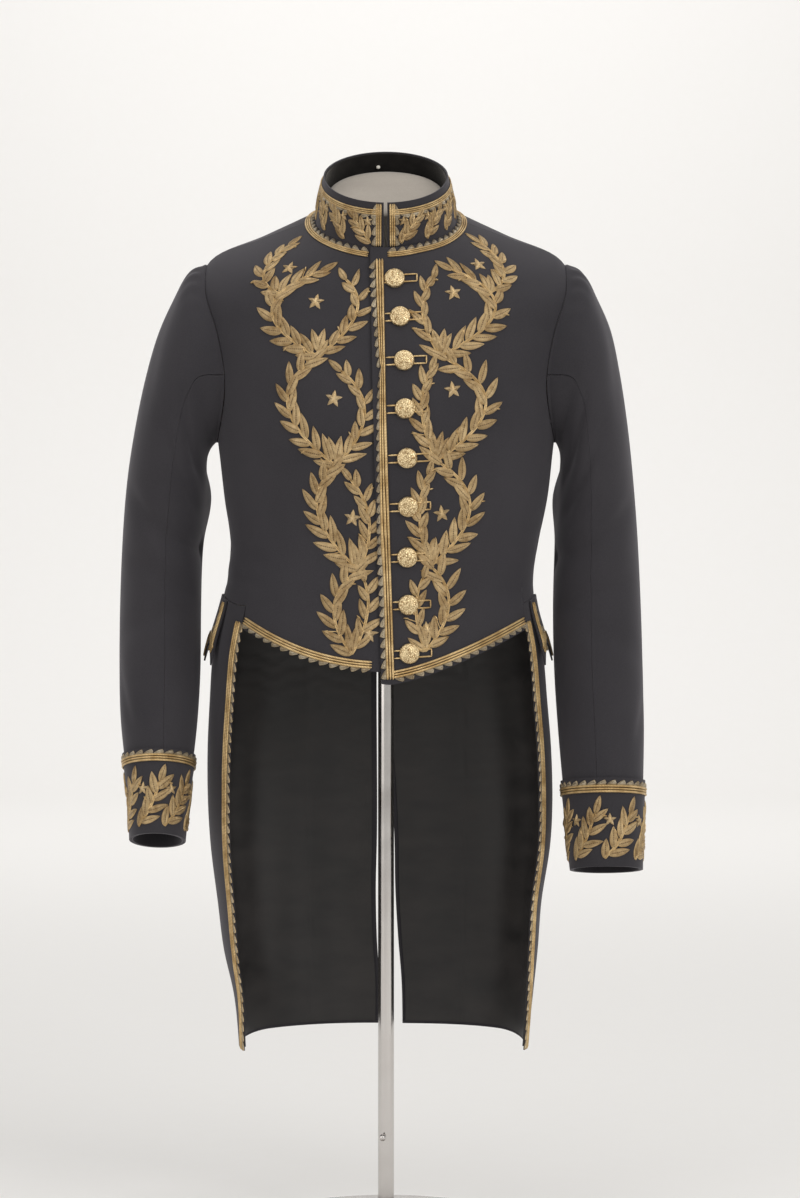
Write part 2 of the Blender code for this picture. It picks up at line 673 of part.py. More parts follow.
def tail_grid(side, columns):
    """Angles and rings of a tail, from the waist seam to the hem and from the front edge to the vent."""
    heights = np.array((0.0, 0.14, 0.30, 0.45, 0.60, 0.74, 0.87, 1.0))
    column = 2 if side > 0 else 1
    edge_rows = np.array(sorted(TAIL_EDGE))
    share = np.linspace(0, 1, columns)
    angles, downs = [], []
    for height in heights:
        middle_z = WAIST_SEAM[0] + (TAIL_HEM_FRONT - WAIST_SEAM[0]) * height
        start = math.radians(np.interp(middle_z, edge_rows[:, 0], edge_rows[:, column]) + 0.62)
        vent = VENT_EDGE[side][0] + (VENT_EDGE[side][1] - VENT_EDGE[side][0]) * height
        angle = start + (math.pi - vent / 0.14 - start) * share
        top = waist_seam_z(angle) - TAIL_SEAM
        turned = (angle - start) / (math.pi - start)
        hem = TAIL_HEM_FRONT + (TAIL_HEM_BACK - TAIL_HEM_FRONT) * ease(turned, 0, 0.5)
        angles.append(angle)
        downs.append(down_at(top + (hem - top) * height))
    return np.array(angles) * side, np.array(downs)


def drawn_in(points, share):
    """A grid whose outer rows and columns are moved in towards their neighbours."""
    points = points.copy()
    for edge, neighbour in ((0, 1), (-1, -2)):
        points[:, edge] += (points[:, neighbour] - points[:, edge]) * share
    for edge, neighbour in ((0, 1), (-1, -2)):
        points[edge] += (points[neighbour] - points[edge]) * share
    return points


def add_tails(collection):
    """Each tail has its lining inside it, made from the tail's own points."""
    for side, name in ((-1, "right_tail"), (1, "left_tail")):
        angles, downs = tail_grid(side, TAIL_COLUMNS)
        outer = placed(body_surface, angles, downs, 0.0)
        normals = outward(body_surface, angles, downs)
        closed_wall(collection, name, outer, outer - normals * TAIL_WALL, "cloth")
        lining = drawn_in(outer, LINING_INSET) - normals * (TAIL_WALL + LAYER_GAP)
        closed_wall(collection, name + "_lining", lining, lining - normals * LINING, "lining")


def add_sleeves(collection):
    step = 2 * math.pi / ARMHOLE_STEPS
    alongs = np.array(SLEEVE_ROWS)
    seam = SEAM / 2 / 0.06
    top = step * np.arange(-TOP_SLEEVE_STEPS, TOP_SLEEVE_STEPS + 1)
    under = step * np.arange(TOP_SLEEVE_STEPS, ARMHOLE_STEPS - TOP_SLEEVE_STEPS + 1)
    for side, name in ((-1, "right"), (1, "left")):
        surface = sleeve_surface(side)
        for part, turns in (("top", top.copy()), ("under", under.copy())):
            turns[0] += seam
            turns[-1] -= seam
            turn, along = np.meshgrid(turns, alongs)
            outer = placed(surface, turn, along, 0.0)
            inner = placed(surface, turn, along, -CLOTH)
            closed_wall(collection, name + "_" + part + "_sleeve", outer, inner, "cloth")


def cuff_surface(side):
    """The cuff's outer face: the sleeve's surface moved out."""
    sleeve = sleeve_surface(side)

    def surface(turn, along):
        turn, along = np.broadcast_arrays(np.asarray(turn, float), np.asarray(along, float))
        return placed(sleeve, turn, along, CUFF_PROUD)

    return surface


def add_cuffs(collection):
    for side, name in ((-1, "right_cuff"), (1, "left_cuff")):
        surface = cuff_surface(side)
        turns = 2 * math.pi / ARMHOLE_STEPS * np.arange(ARMHOLE_STEPS)
        turn, along = np.meshgrid(turns, np.array((CUFF_TOP, 12.0, SLEEVE_END)))
        outer = placed(surface, turn, along, 0.0)
        inner = placed(surface, turn, along, LAYER_GAP - CUFF_PROUD)
        closed_wall(collection, name, outer, inner, "cloth", ring=True)


def add_collar(collection):
    angles = np.linspace(COLLAR_END, 2 * math.pi - COLLAR_END, COLLAR_STEPS)
    angle, share = np.meshgrid(angles, np.array((0.0, 0.5, 1.0)))
    outer = placed(collar_surface, angle, share, 0.0)
    inner = placed(collar_surface, angle, share, -COLLAR_WALL)
    closed_wall(collection, "collar", outer, inner, "cloth")


def flap_surface(side):
    """A hip flap hangs from the waist seam and stands off the tail towards its point."""
    stand_off = FLAP_STAND_OFF[side]

    def surface(angle, drop):
        angle, drop = np.broadcast_arrays(np.asarray(angle, float), np.asarray(drop, float))
        down = down_at(waist_seam_z(angle) - drop)
        return placed(body_surface, angle, down, 0.0024 + stand_off * (drop / 0.078) ** 1.2)

    return surface


def flap_drop(angle):
    """The length of a flap: it has a long middle point and a shorter one at each end."""
    middle = (np.degrees(np.abs(angle)) - 90) / 19
    return 0.078 - 0.024 * np.abs(np.sin(middle * math.pi)) ** 0.9 - 0.006 * middle**2


def add_flaps(collection):
    for side, name in ((-1, "right_flap"), (1, "left_flap")):
        angle = side * np.radians(np.linspace(71, 109, 13))
        angles, drops = np.meshgrid(angle, np.array((0.0, 0.5, 1.0)))
        drops = 0.0010 + drops * flap_drop(angles)
        surface = flap_surface(side)
        outer = surface(angles, drops)
        inner = placed(surface, angles, drops, -CLOTH)
        closed_wall(collection, name, outer, inner, "cloth")


def seat_height(panel, centre, normal, radius):
    """How high a flat disc can sit over a point of a panel before it touches it."""
    reach = Vector(normal) * SEAT_SEARCH
    turned_to = Vector((0, 0, 1)).rotation_difference(Vector(normal))
    heights = []
    for share, turn in itertools.product((0.0, 0.35, 0.7, 1.0), np.arange(18) * math.pi / 9):
        across = Vector((math.cos(turn), math.sin(turn), 0.0)) * radius * share
        hit = panel.ray_cast(Vector(centre) + turned_to @ across + reach, -Vector(normal))[0]
        if hit is not None:
            heights.append((hit - Vector(centre)).dot(Vector(normal)))
    return max(heights, default=0.0)


def add_buttons(collection, front):
    """Each button is a dome turned from a profile, standing on the lapping front."""
    rim = 0.0012
    panel = BVHTree.FromPolygons([v.co for v in front.data.vertices], [p.vertices for p in front.data.polygons])
    for number, (x, z) in enumerate(BUTTON_PLACES, start=1):
        turn = np.linspace(0, math.pi / 2, 4)
        across = BUTTON_RADIUS * np.cos(turn)
        height = rim + (BUTTON_HEIGHT - rim) * np.sin(turn)
        profile = [(0.0, BUTTON_HEIGHT)] + [(a, h) for a, h in zip(across[-2::-1], height[-2::-1])]
        profile += [(BUTTON_RADIUS, 0.0), (0.0, 0.0)]
        thing = turned(collection, f"button_{number}", profile, 9, "button_gilt")
        angle, down = front_place(x, z)
        normal = outward(lapping_surface, angle, down)
        seat = placed(lapping_surface, angle, down, 0.0)
        seat = seat + normal * (seat_height(panel, seat, normal, BUTTON_RADIUS) + BUTTON_SEAT)
        thing.location = Vector(seat)
        thing.rotation_euler = Vector((0, 0, 1)).rotation_difference(Vector(normal)).to_euler()


def turned(collection, name, profile, steps, finish):
    """A solid of revolution about its own Z from (radius, height) points, top to bottom down its outer side."""
    mesh = bpy.data.meshes.new(name)
    points = [(radius, 0.0, height) for radius, height in profile]
    edges = [(index, index + 1) for index in range(len(points) - 1)]
    mesh.from_pydata(points, edges, [])
    mesh.materials.append(material_for(name, finish))
    thing = bpy.data.objects.new(name, mesh)
    collection.objects.link(thing)
    screw = thing.modifiers.new("turned", "SCREW")
    screw.steps = steps
    screw.render_steps = steps
    screw.use_merge_vertices = True
    screw.merge_threshold = 0.0001
    return thing


def steps_along(surface, path, spacing):
    """Places a given spacing apart along a path in a surface's parameters, with the frame at each."""
    path = np.asarray(path, float)
    points = surface(path[:, 0], path[:, 1])
    length = np.concatenate(((0,), np.cumsum(np.linalg.norm(np.diff(points, axis=0), axis=1))))
    count = max(2, int(round(length[-1] / spacing)) + 1)
    at = np.linspace(0, length[-1], count)
    places = np.column_stack([np.interp(at, length, path[:, axis]) for axis in (0, 1)])
    return places, frames(surface, places)


def frames(surface, places):
    """For each place the step of the parameters that one metre along the path and one across it take."""
    a, b = places[:, 0], places[:, 1]
    step = 1e-4
    along_a = (surface(a + step, b) - surface(a - step, b)) / (2 * step)
    along_b = (surface(a, b + step) - surface(a, b - step)) / (2 * step)
    heading = np.gradient(surface(a, b), axis=0)
    heading /= np.linalg.norm(heading, axis=-1, keepdims=True)
    normal = np.cross(along_b, along_a)
    normal /= np.linalg.norm(normal, axis=-1, keepdims=True)
    across = np.cross(normal, heading)
    basis = np.stack((along_a, along_b), axis=-1)
    inverse = np.linalg.pinv(basis)
    return np.einsum("nij,nj->ni", inverse, heading), np.einsum("nij,nj->ni", inverse, across)


def beside(surface, path, distance):
    """The path moved sideways along the surface."""
    return path + frames(surface, path)[1] * distance


def braid_outline(surface, path, width=BRAID, teeth=1, spacing=TOOTH_PITCH):
    """A strip along a path, its far edge cut into teeth; teeth is 1 or -1 for the side, or 0 for none."""
    places, (_, across) = steps_along(surface, path, spacing if teeth else spacing * 1.3)
    near = places - across * (width / 2 if not teeth else 0)
    far = places + across * (width * (teeth or 0.5))
    if not teeth:
        return np.concatenate((near, far[::-1]))
    tips = far + across * (TOOTH_DEPTH * teeth)
    saw = []
    for index in range(len(places) - 1):
        saw.append(far[index])
        saw.append(tips[index] * 0.15 + tips[index + 1] * 0.85)
    saw.append(far[-1])
    near = near[sorted({*range(0, len(near), 2), len(near) - 1})]
    return np.concatenate((near, np.array(saw)[::-1]))


def leaf_outline(place, heading, across, length, width, spread):
    """A pointed leaf that leaves a stem at an angle; its base lies on the stem."""
    shape = np.array(((-0.055, 0.0), (0.42, -0.5), (1.0, 0.0), (0.42, 0.5)))
    along = heading * math.cos(spread) + across * math.sin(spread)
    aside = across * math.cos(spread) - heading * math.sin(spread)
    return place + shape[:, :1] * length * along + shape[:, 1:] * width * aside


def star_outline(surface, place, radius):
    places = np.array((place, (place[0], place[1] + 1e-3)))
    heading, across = frames(surface, places)
    turns = math.pi / 2 + np.arange(10) * math.pi / 5
    reach = np.where(np.arange(10) % 2, 0.42, 1.0) * radius
    return np.array(place) + (
        np.outer(reach * np.sin(turns), -heading[0]) + np.outer(reach * np.cos(turns), across[0])
    )


def bow(start, bulge, end, count=13):
    """A smooth stem from start to end that bows out to a bulge half way."""
    share = np.linspace(0, 1, count)[:, None]
    start, bulge, end = (np.array(point) for point in (start, bulge, end))
    control = 2 * bulge - (start + end) / 2
    return (1 - share) ** 2 * start + 2 * share * (1 - share) * control + share**2 * end


def laurel(surface, path, pitch=LEAF_PITCH, length=LEAF_LENGTH, width=LEAF_WIDTH, sides=(1, -1), ends=True):
    """A branch: a stem with pairs of leaves that point the way it grows, and a leaf at its tip."""
    outlines = [braid_outline(surface, path, STEM, teeth=0, spacing=pitch)]
    places, (heading, across) = steps_along(surface, path, pitch)
    count = len(places)
    for index in range(1, count if ends else count - 1):
        shorter = 1 - 0.22 * index / count
        for side in sides:
            spread = LEAF_SPREAD * side
            outlines.append(
                leaf_outline(places[index - 1], heading[index - 1], across[index - 1], length * shorter, width, spread)
            )
    if ends:
        outlines.append(leaf_outline(places[-1], heading[-1], across[-1], length * 0.75, width * 0.8, 0.0))
    return outlines


def front_path(points):
    """Front-view places turned into the body's own parameters."""
    points = np.asarray(points, float)
    return np.column_stack(front_place(points[:, 0], points[:, 1]))


def clear_of_buttons(leaf):
    points = body_surface(leaf[:, 0], leaf[:, 1])[:, (0, 2)]
    along = np.concatenate((points, (points + np.roll(points, -1, axis=0)) / 2, points.mean(axis=0, keepdims=True)))
    apart = np.linalg.norm(along[:, None] - np.array(BUTTON_PLACES)[None], axis=-1)
    return apart.min() > BUTTON_RADIUS + BUTTON_CLEAR


def add_front_embroidery(collection):
    for side, name in ((-1, "right"), (1, "left")):
        surface = lapping_surface if side > 0 else body_surface
        outlines = []
        cells = CELLS[side]
        for lower, upper in zip(cells, cells[1:]):
            start, end = (lower[NODE_X], lower[NODE_Z]), (upper[NODE_X], upper[NODE_Z])
            middle = lower[NODE_Z] * 0.45 + upper[NODE_Z] * 0.55
            stem = bow(start, (lower[OUTER_X], middle), end)
            outlines += laurel(surface, front_path(stem))
            if lower[INNER_X] is not None:
                inner = bow(start, (lower[INNER_X], middle), end)[:-2]
                branch = laurel(surface, front_path(inner), pitch=0.0280, length=0.0220, width=0.0078)
                outlines += branch[:1] + [leaf for leaf in branch[1:] if side < 0 or clear_of_buttons(leaf)]
            star = (lower[STAR_X], lower[STAR_Z])
            stalk = bow(start, ((start[0] + star[0]) / 2 + side * 0.004, (start[1] + star[1]) / 2), star, 5)
            outlines.append(braid_outline(surface, front_path(stalk), 0.0014, teeth=0, spacing=0.012))
            outlines.append(star_outline(surface, front_path([star])[0], STAR_RADIUS))
        outlines += laurel(surface, front_path(bow(stem[SPRAY_START], *SHOULDER_SPRAY[side])), length=0.024)
        link = np.linspace(stem[SPRAY_START], SHOULDER_STAR[side], 4)
        outlines.append(braid_outline(surface, front_path(link), 0.0014, teeth=0, spacing=0.012))
        outlines.append(star_outline(surface, front_path([SHOULDER_STAR[side]])[0], STAR_RADIUS))
        hidden, low = (lap_shadow(), FRONT_RELIEF_LOW) if side < 0 else (None, RELIEF_LOW)
        applique(collection, name + "_front_embroidery", surface, outlines, hidden=hidden, low=low)


def lap_shadow():
    """The part of the right front that the left one covers, as an outline in the body's parameters."""
    heights = np.linspace(1.098, 0.612, 14)
    edge = front_path(np.column_stack((lap_edge_x(heights) - LAP_CLEAR, heights)))
    return np.concatenate((edge, ((0.6, edge[-1, 1]), (0.6, edge[0, 1]))))


def hem_line(side, inset):
    """The hem of a front from the centre to the tail's corner, as a path a little above it."""
    start = math.asin(0.0125 / 0.18) if side > 0 else math.asin(0.004 / 0.18)
    angles = np.linspace(start * side, side * (TAIL_CORNER[side] - 0.035), 40)
    return np.column_stack((angles, down_at(hem_z(side, angles) + inset)))


def add_front_braids(collection):
    inset = BRAID + TOOTH_DEPTH + BRAID_MARGIN
    heights = np.linspace(1.0830, HEM_LOW[1] + TOOTH_DEPTH + 0.001, 40)
    lap = front_path(np.column_stack((lap_edge_x(heights) + inset, heights)))
    outlines = [braid_outline(lapping_surface, lap, teeth=-1)]
    outlines.append(braid_outline(lapping_surface, hem_line(1, inset), teeth=-1))
    applique(collection, "lap_braid", lapping_surface, outlines)
    outlines = [braid_outline(body_surface, hem_line(-1, inset), teeth=1)]
    applique(collection, "right_hem_braid", body_surface, outlines, hidden=lap_shadow())


def add_neck_braids(collection):
    width = BRAID_MARGIN + TOOTH_DEPTH + NECK_BRAID
    for side, name, surface in ((-1, "right_neck_braid", body_surface), (1, "left_neck_braid", lapping_surface)):
        front = math.asin(NECK_BRAID_START[side] / BODY_RINGS[0][HALF])
        angles = np.linspace(side * front, side * (math.pi - 0.003), 60)
        neckline = np.column_stack((angles, np.full(angles.shape, 0.0004)))
        outline = braid_outline(surface, beside(surface, neckline, -side * width), NECK_BRAID, teeth=side)
        applique(collection, name, surface, [outline], (0.09, 1.0), hidden=lap_shadow() if side < 0 else None)


def add_tail_braids(collection):
    inset = (BRAID + TOOTH_DEPTH + BRAID_MARGIN) / 0.175
    edge_rows = np.array(sorted(TAIL_EDGE))
    for side, name, column in ((-1, "right_tail_braid", 1), (1, "left_tail_braid", 2)):
        heights = np.linspace(HEM_END_Z, TAIL_HEM_FRONT + 0.001, 50)
        angles = np.radians(np.interp(heights, edge_rows[:, 0], edge_rows[:, column]) + 0.62) + inset
        path = np.column_stack((side * angles, down_at(heights)))
        braid = braid_outline(body_surface, path, teeth=-side)
        applique(collection, name, body_surface, [braid], low=TAIL_RELIEF_LOW)


def add_collar_gold(collection):
    """Braid along the top and the front end of each half of the collar, with a laurel branch inside it."""
    for side, name in ((-1, "right"), (1, "left")):
        first, last = COLLAR_END + 0.030, math.pi - 0.004
        angles = (side * np.linspace(first, last, 60)) % (2 * math.pi)
        top = np.column_stack((angles, np.full(angles.shape, 0.035)))
        edge = np.column_stack((np.full(9, angles[0]), np.linspace(0.035, 0.96, 9)))
        outlines = [braid_outline(collar_surface, top, COLLAR_BRAID, teeth=-side)]
        outlines.append(braid_outline(collar_surface, edge, COLLAR_BRAID, teeth=side))
        run = np.linspace(first + 0.10, last - 0.24, 30)
        wave = 0.60 + 0.10 * np.sin((run - first) * 2 * math.pi / 0.9)
        branch = np.column_stack(((side * run) % (2 * math.pi), wave))
        outlines += laurel(collar_surface, branch, pitch=0.0250, length=0.0200, width=0.0080)
        tie = np.column_stack(((side * np.linspace(first + 0.02, first + 0.11, 3)) % (2 * math.pi), np.full(3, 0.60)))
        outlines.append(braid_outline(collar_surface, tie, STEM, teeth=0, spacing=0.010))
        applique(collection, name + "_collar_embroidery", collar_surface, outlines, (0.075, 0.05))


def add_cuff_gold(collection):
    """Braid round the top of each cuff, with a laurel branch that winds round the cuff under it."""
    for side, name in ((-1, "right"), (1, "left")):
        surface = cuff_surface(side)
        turns = np.linspace(0.06, 2 * math.pi - 0.06, 80)
        round_path = np.column_stack((turns, np.full(turns.shape, CUFF_TOP + 0.30)))
        outlines = [braid_outline(surface, round_path, BRAID, teeth=1)]
        wave = 12.15 + 0.28 * np.sin(turns * 3)
        branch = np.column_stack((turns, wave))
        outlines += laurel(surface, branch, pitch=0.0270, length=0.0250, width=0.0085)
        tie = np.column_stack((np.full(3, turns[20]), np.linspace(CUFF_TOP + 0.18, wave[20] + 0.16, 3)))
        outlines.append(braid_outline(surface, tie, STEM, teeth=0, spacing=0.012))
        applique(collection, name + "_cuff_embroidery", surface, outlines, (0.045, 0.047), low=CUFF_RELIEF_LOW)


def add_form(collection):
    """The armless form: rings inside the coat, a neck inside the collar and a flat underside."""
    rings = np.concatenate((panel_rings()[:4], FORM_RINGS))
    turns = np.linspace(0, 2 * math.pi, FORM_STEPS, endpoint=False)
    gaps = np.array(FORM_GAP)
    rows = []
    centre = body_surface(np.array((0.0, math.pi)), np.zeros(2)).mean(axis=0)
    neckline = body_surface(turns, np.zeros(FORM_STEPS))
    axis = np.array(COLLAR_AXIS)
    for rise, half in ((NECK_HEIGHT, NECK_HALF), (0.0, 0.0680)):
        rows.append(centre + (neckline - centre) * (half / BODY_RINGS[0][HALF]) + axis * rise)
    for ring in rings[1:]:
        gap = np.interp(ring, gaps[:, 0], gaps[:, 1])
        rows.append(placed(body_surface, turns, np.full(FORM_STEPS, ring), -gap))
    low = placed(body_surface, turns, np.full(FORM_STEPS, down_at(np.array(FORM_BOTTOM + 0.012))), -0.012)
    rows.append(low)
    foot = low * np.array((0.93, 0.93, 1.0))
    foot[:, 2] = FORM_BOTTOM
    rows.append(foot)
    points = np.concatenate(rows)
    faces = []
    for row in range(len(rows) - 1):
        for column in range(FORM_STEPS):
            start, following = row * FORM_STEPS + column, row * FORM_STEPS + (column + 1) % FORM_STEPS
            faces.append([start, following, following + FORM_STEPS, start + FORM_STEPS])
    faces.append(list(range(FORM_STEPS))[::-1])
    faces.append(list(range((len(rows) - 1) * FORM_STEPS, len(rows) * FORM_STEPS)))
    solid_from(collection, "dress_form", points, faces, "form_grey")
    cap = rows[0] + axis * TOUCH
    cap_top = centre + (cap - centre) * 0.985 + axis * NECK_CAP
    points = np.concatenate((cap_top, cap))
    faces = [[i, (i + 1) % FORM_STEPS, (i + 1) % FORM_STEPS + FORM_STEPS, i + FORM_STEPS] for i in range(FORM_STEPS)]
    faces.append(list(range(FORM_STEPS))[::-1])
    faces.append(list(range(FORM_STEPS, 2 * FORM_STEPS)))
    solid_from(collection, "neck_cap", points, faces, "form_grey")


def add_stand(collection):
    edge = 0.003
    base = [(0.0, BASE_HEIGHT), (BASE_RADIUS - edge, BASE_HEIGHT), (BASE_RADIUS, BASE_HEIGHT - edge)]
    base += [(BASE_RADIUS, 0.001), (BASE_RADIUS - 0.001, 0.0), (0.0, 0.0)]
    turned(collection, "stand_base", base, 32, "chrome")
    socket_low = FORM_BOTTOM - TOUCH - SOCKET_HEIGHT
    socket = [(0.0, SOCKET_HEIGHT), (SOCKET_RADIUS, SOCKET_HEIGHT), (SOCKET_RADIUS, 0.006)]
    socket += [(SOCKET_RADIUS - 0.006, 0.0), (0.0, 0.0)]
    turned(collection, "pole_socket", socket, 16, "chrome").location.z = socket_low
    foot = BASE_HEIGHT + TOUCH
    length = socket_low - TOUCH - foot
    pole = [(0.0, length), (POLE_RADIUS, length), (POLE_RADIUS, 0.0), (0.0, 0.0)]
    turned(collection, "pole", pole, 16, "chrome").location.z = foot
    knob = [(0.0, 0.009), (0.0026, 0.0082), (KNOB_RADIUS, 0.0058), (KNOB_RADIUS, 0.0040)]
    knob += [(0.0024, 0.0030), (0.0020, 0.0), (0.0, 0.0)]
    thing = turned(collection, "pole_knob", knob, 12, "chrome")
    aim = Vector((-0.28, -0.96, 0.0))
    thing.location = aim.normalized() * (POLE_RADIUS + TOUCH) + Vector((0, 0, KNOB_HEIGHT))
    thing.rotation_euler = Vector((0, 0, 1)).rotation_difference(aim).to_euler()


def main():
    clear_scene()
    collection = new_collection()
    lapping_front = add_fronts(collection)
    add_backs(collection)
    add_tails(collection)
    add_sleeves(collection)
    add_cuffs(collection)
    add_collar(collection)
    add_flaps(collection)
    add_buttons(collection, lapping_front)
    add_front_embroidery(collection)
    add_front_braids(collection)
    add_neck_braids(collection)
    add_tail_braids(collection)
    add_collar_gold(collection)
    add_cuff_gold(collection)
    add_form(collection)
    add_stand(collection)


main()
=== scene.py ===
import math

import bpy
import numpy as np
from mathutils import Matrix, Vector


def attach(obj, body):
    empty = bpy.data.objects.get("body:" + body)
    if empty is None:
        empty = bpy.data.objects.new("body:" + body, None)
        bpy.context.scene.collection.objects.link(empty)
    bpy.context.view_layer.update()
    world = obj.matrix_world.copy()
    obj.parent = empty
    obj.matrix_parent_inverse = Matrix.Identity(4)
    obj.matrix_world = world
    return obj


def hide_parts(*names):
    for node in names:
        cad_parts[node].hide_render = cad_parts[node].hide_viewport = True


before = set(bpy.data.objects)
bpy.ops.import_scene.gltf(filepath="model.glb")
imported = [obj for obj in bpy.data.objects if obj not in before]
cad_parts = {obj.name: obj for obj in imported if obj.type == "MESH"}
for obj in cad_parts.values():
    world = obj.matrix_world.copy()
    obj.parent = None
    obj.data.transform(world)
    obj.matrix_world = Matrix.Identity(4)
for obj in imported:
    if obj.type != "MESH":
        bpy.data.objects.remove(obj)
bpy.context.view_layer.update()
tau = 2 * math.pi

# The tailcoat's own measures, in metres. Angles run from the centre front, "down" counts down the side seam.
#     down   half    shift    front_y  front_z side_y   side_z back_y  back_z power
bodyRings = (
    (0.000, 0.0790, 0.0000, -0.0980, 1.100, -0.015, 1.1430, 0.0620, 1.183, 2.00),
    (0.065, 0.1400, 0.0000, -0.1080, 1.073, -0.014, 1.1210, 0.0790, 1.152, 2.00),
    (0.130, 0.1990, 0.0000, -0.1180, 1.045, -0.012, 1.0950, 0.0930, 1.114, 2.05),
    (0.155, 0.2110, 0.0000, -0.1220, 1.033, -0.011, 1.0740, 0.0980, 1.094, 2.10),
    (0.205, 0.2100, 0.0000, -0.1290, 1.000, -0.010, 1.0220, 0.1060, 1.045, 2.20),
    (0.270, 0.1985, 0.0000, -0.1340, 0.947, -0.008, 0.9570, 0.1110, 0.975, 2.30),
    (0.335, 0.1890, 0.0000, -0.1335, 0.888, -0.005, 0.8920, 0.1080, 0.900, 2.35),
    (0.397, 0.1820, 0.0000, -0.1260, 0.830, -0.002, 0.8300, 0.0990, 0.830, 2.35),
    (0.450, 0.1735, -0.0020, -0.1170, 0.777, 0.000, 0.7770, 0.0880, 0.777, 2.30),
    (0.482, 0.1725, -0.0060, -0.1150, 0.745, 0.001, 0.7450, 0.0885, 0.745, 2.25),
    (0.519, 0.1770, -0.0085, -0.1150, 0.708, 0.003, 0.7080, 0.0960, 0.708, 2.20),
    (0.567, 0.1860, -0.0090, -0.1170, 0.660, 0.006, 0.6600, 0.1080, 0.660, 2.20),
    (0.627, 0.1910, -0.0085, -0.1180, 0.600, 0.010, 0.6000, 0.1160, 0.600, 2.20),
    (0.682, 0.1945, -0.0075, -0.1180, 0.545, 0.014, 0.5450, 0.1210, 0.545, 2.20),
    (0.787, 0.1925, -0.0062, -0.1180, 0.440, 0.018, 0.4400, 0.1250, 0.440, 2.20),
    (0.855, 0.1830, -0.0070, -0.1180, 0.372, 0.018, 0.3720, 0.1250, 0.372, 2.20),
    (0.907, 0.1775, -0.0055, -0.1170, 0.320, 0.016, 0.3200, 0.1240, 0.320, 2.20),
    (0.957, 0.1690, -0.0025, -0.1150, 0.270, 0.012, 0.2700, 0.1230, 0.270, 2.20),
    (1.027, 0.1615, -0.0028, -0.1100, 0.200, 0.006, 0.2000, 0.1220, 0.200, 2.20),
)
#     along  crown_x crown_z under_x under_z centre_y depth  tilt
sleeveRows = {
    -1: (
        (0.0, 0.2110, 1.088, 0.1910, 0.8930, -0.0110, 0.0680, 0.0),
        (1.0, 0.2225, 1.082, 0.1955, 0.8880, -0.0120, 0.0715, 0.0),
        (2.0, 0.2390, 1.053, 0.1990, 0.8820, -0.0120, 0.0735, 0.0),
        (3.0, 0.2565, 1.013, 0.2015, 0.8740, -0.0110, 0.0740, 0.0),
        (4.0, 0.2710, 0.962, 0.2030, 0.8600, -0.0090, 0.0730, 0.0),
        (5.0, 0.2830, 0.905, 0.2040, 0.8380, -0.0060, 0.0715, 0.0),
        (6.0, 0.2920, 0.848, 0.2060, 0.8080, -0.0010, 0.0700, 0.0),
        (7.0, 0.2975, 0.785, 0.2085, 0.7650, 0.0040, 0.0680, 0.0),
        (8.0, 0.3005, 0.712, 0.2095, 0.7040, 0.0050, 0.0650, 1.0),
        (9.0, 0.3005, 0.640, 0.2095, 0.6370, -0.0040, 0.0600, 5.0),
        (10.0, 0.2980, 0.585, 0.2115, 0.5840, -0.0180, 0.0550, 9.0),
        (11.0, 0.2925, 0.539, 0.2155, 0.5390, -0.0300, 0.0500, 12.0),
        (12.0, 0.2850, 0.490, 0.2215, 0.4900, -0.0430, 0.0465, 14.0),
        (13.0, 0.2825, 0.448, 0.2245, 0.4480, -0.0550, 0.0440, 15.0),
    ),
    1: (
        (0.0, 0.2110, 1.088, 0.1910, 0.8930, -0.0110, 0.0680, 0.0),
        (1.0, 0.2225, 1.082, 0.1935, 0.8880, -0.0120, 0.0715, 0.0),
        (2.0, 0.2370, 1.056, 0.1955, 0.8820, -0.0120, 0.0735, 0.0),
        (3.0, 0.2530, 1.018, 0.1965, 0.8740, -0.0110, 0.0740, 0.0),
        (4.0, 0.2635, 0.968, 0.1965, 0.8600, -0.0090, 0.0730, 0.0),
        (5.0, 0.2720, 0.912, 0.1960, 0.8380, -0.0060, 0.0715, 0.0),
        (6.0, 0.2785, 0.855, 0.1945, 0.8080, -0.0010, 0.0700, 0.0),
        (7.0, 0.2840, 0.790, 0.1910, 0.7650, 0.0040, 0.0680, 0.0),
        (8.0, 0.2878, 0.715, 0.1890, 0.7040, 0.0050, 0.0650, 0.0),
        (9.0, 0.2898, 0.640, 0.1900, 0.6370, 0.0000, 0.0610, 2.0),
        (10.0, 0.2905, 0.575, 0.1935, 0.5740, -0.0090, 0.0560, 5.0),
        (11.0, 0.2885, 0.509, 0.1985, 0.5090, -0.0220, 0.0520, 8.0),
        (12.0, 0.2860, 0.458, 0.2035, 0.4580, -0.0310, 0.0485, 9.0),
        (13.0, 0.2845, 0.414, 0.2075, 0.4140, -0.0400, 0.0460, 10.0),
    ),
}
coat = {
    "cloth": 0.0018, "lapLift": 0.0029, "lapTaper": (0.030, 0.070), "seamAngle": 0.0022,
    "armholeDown": 0.235, "armholeHalf": 0.100,
    "armholeFront": math.radians(30), "armholeBack": math.radians(28),
    "underLapEdge": 0.024, "hemReach": 0.160, "hemEndZ": 0.6875, "waistSeam": (0.7090, 0.7225),
    "hemLow": {-1: 0.6340, 1: 0.6225}, "hemRise": {-1: 0.0500, 1: 0.0620}, "hemCurve": {-1: 2.1, 1: 1.4},
    "tailCorner": {-1: math.radians(53.5), 1: math.radians(64.0)}, "tailHem": (0.2105, 0.2190),
    "ventEdge": {-1: (0.0006, 0.0040), 1: (0.0006, 0.0150)}, "cuffProud": 0.0023, "cuffTop": 10.95,
}
lapEdge = ((0.610, -0.0040), (0.758, -0.0086), (0.922, -0.0135), (1.100, -0.0168))
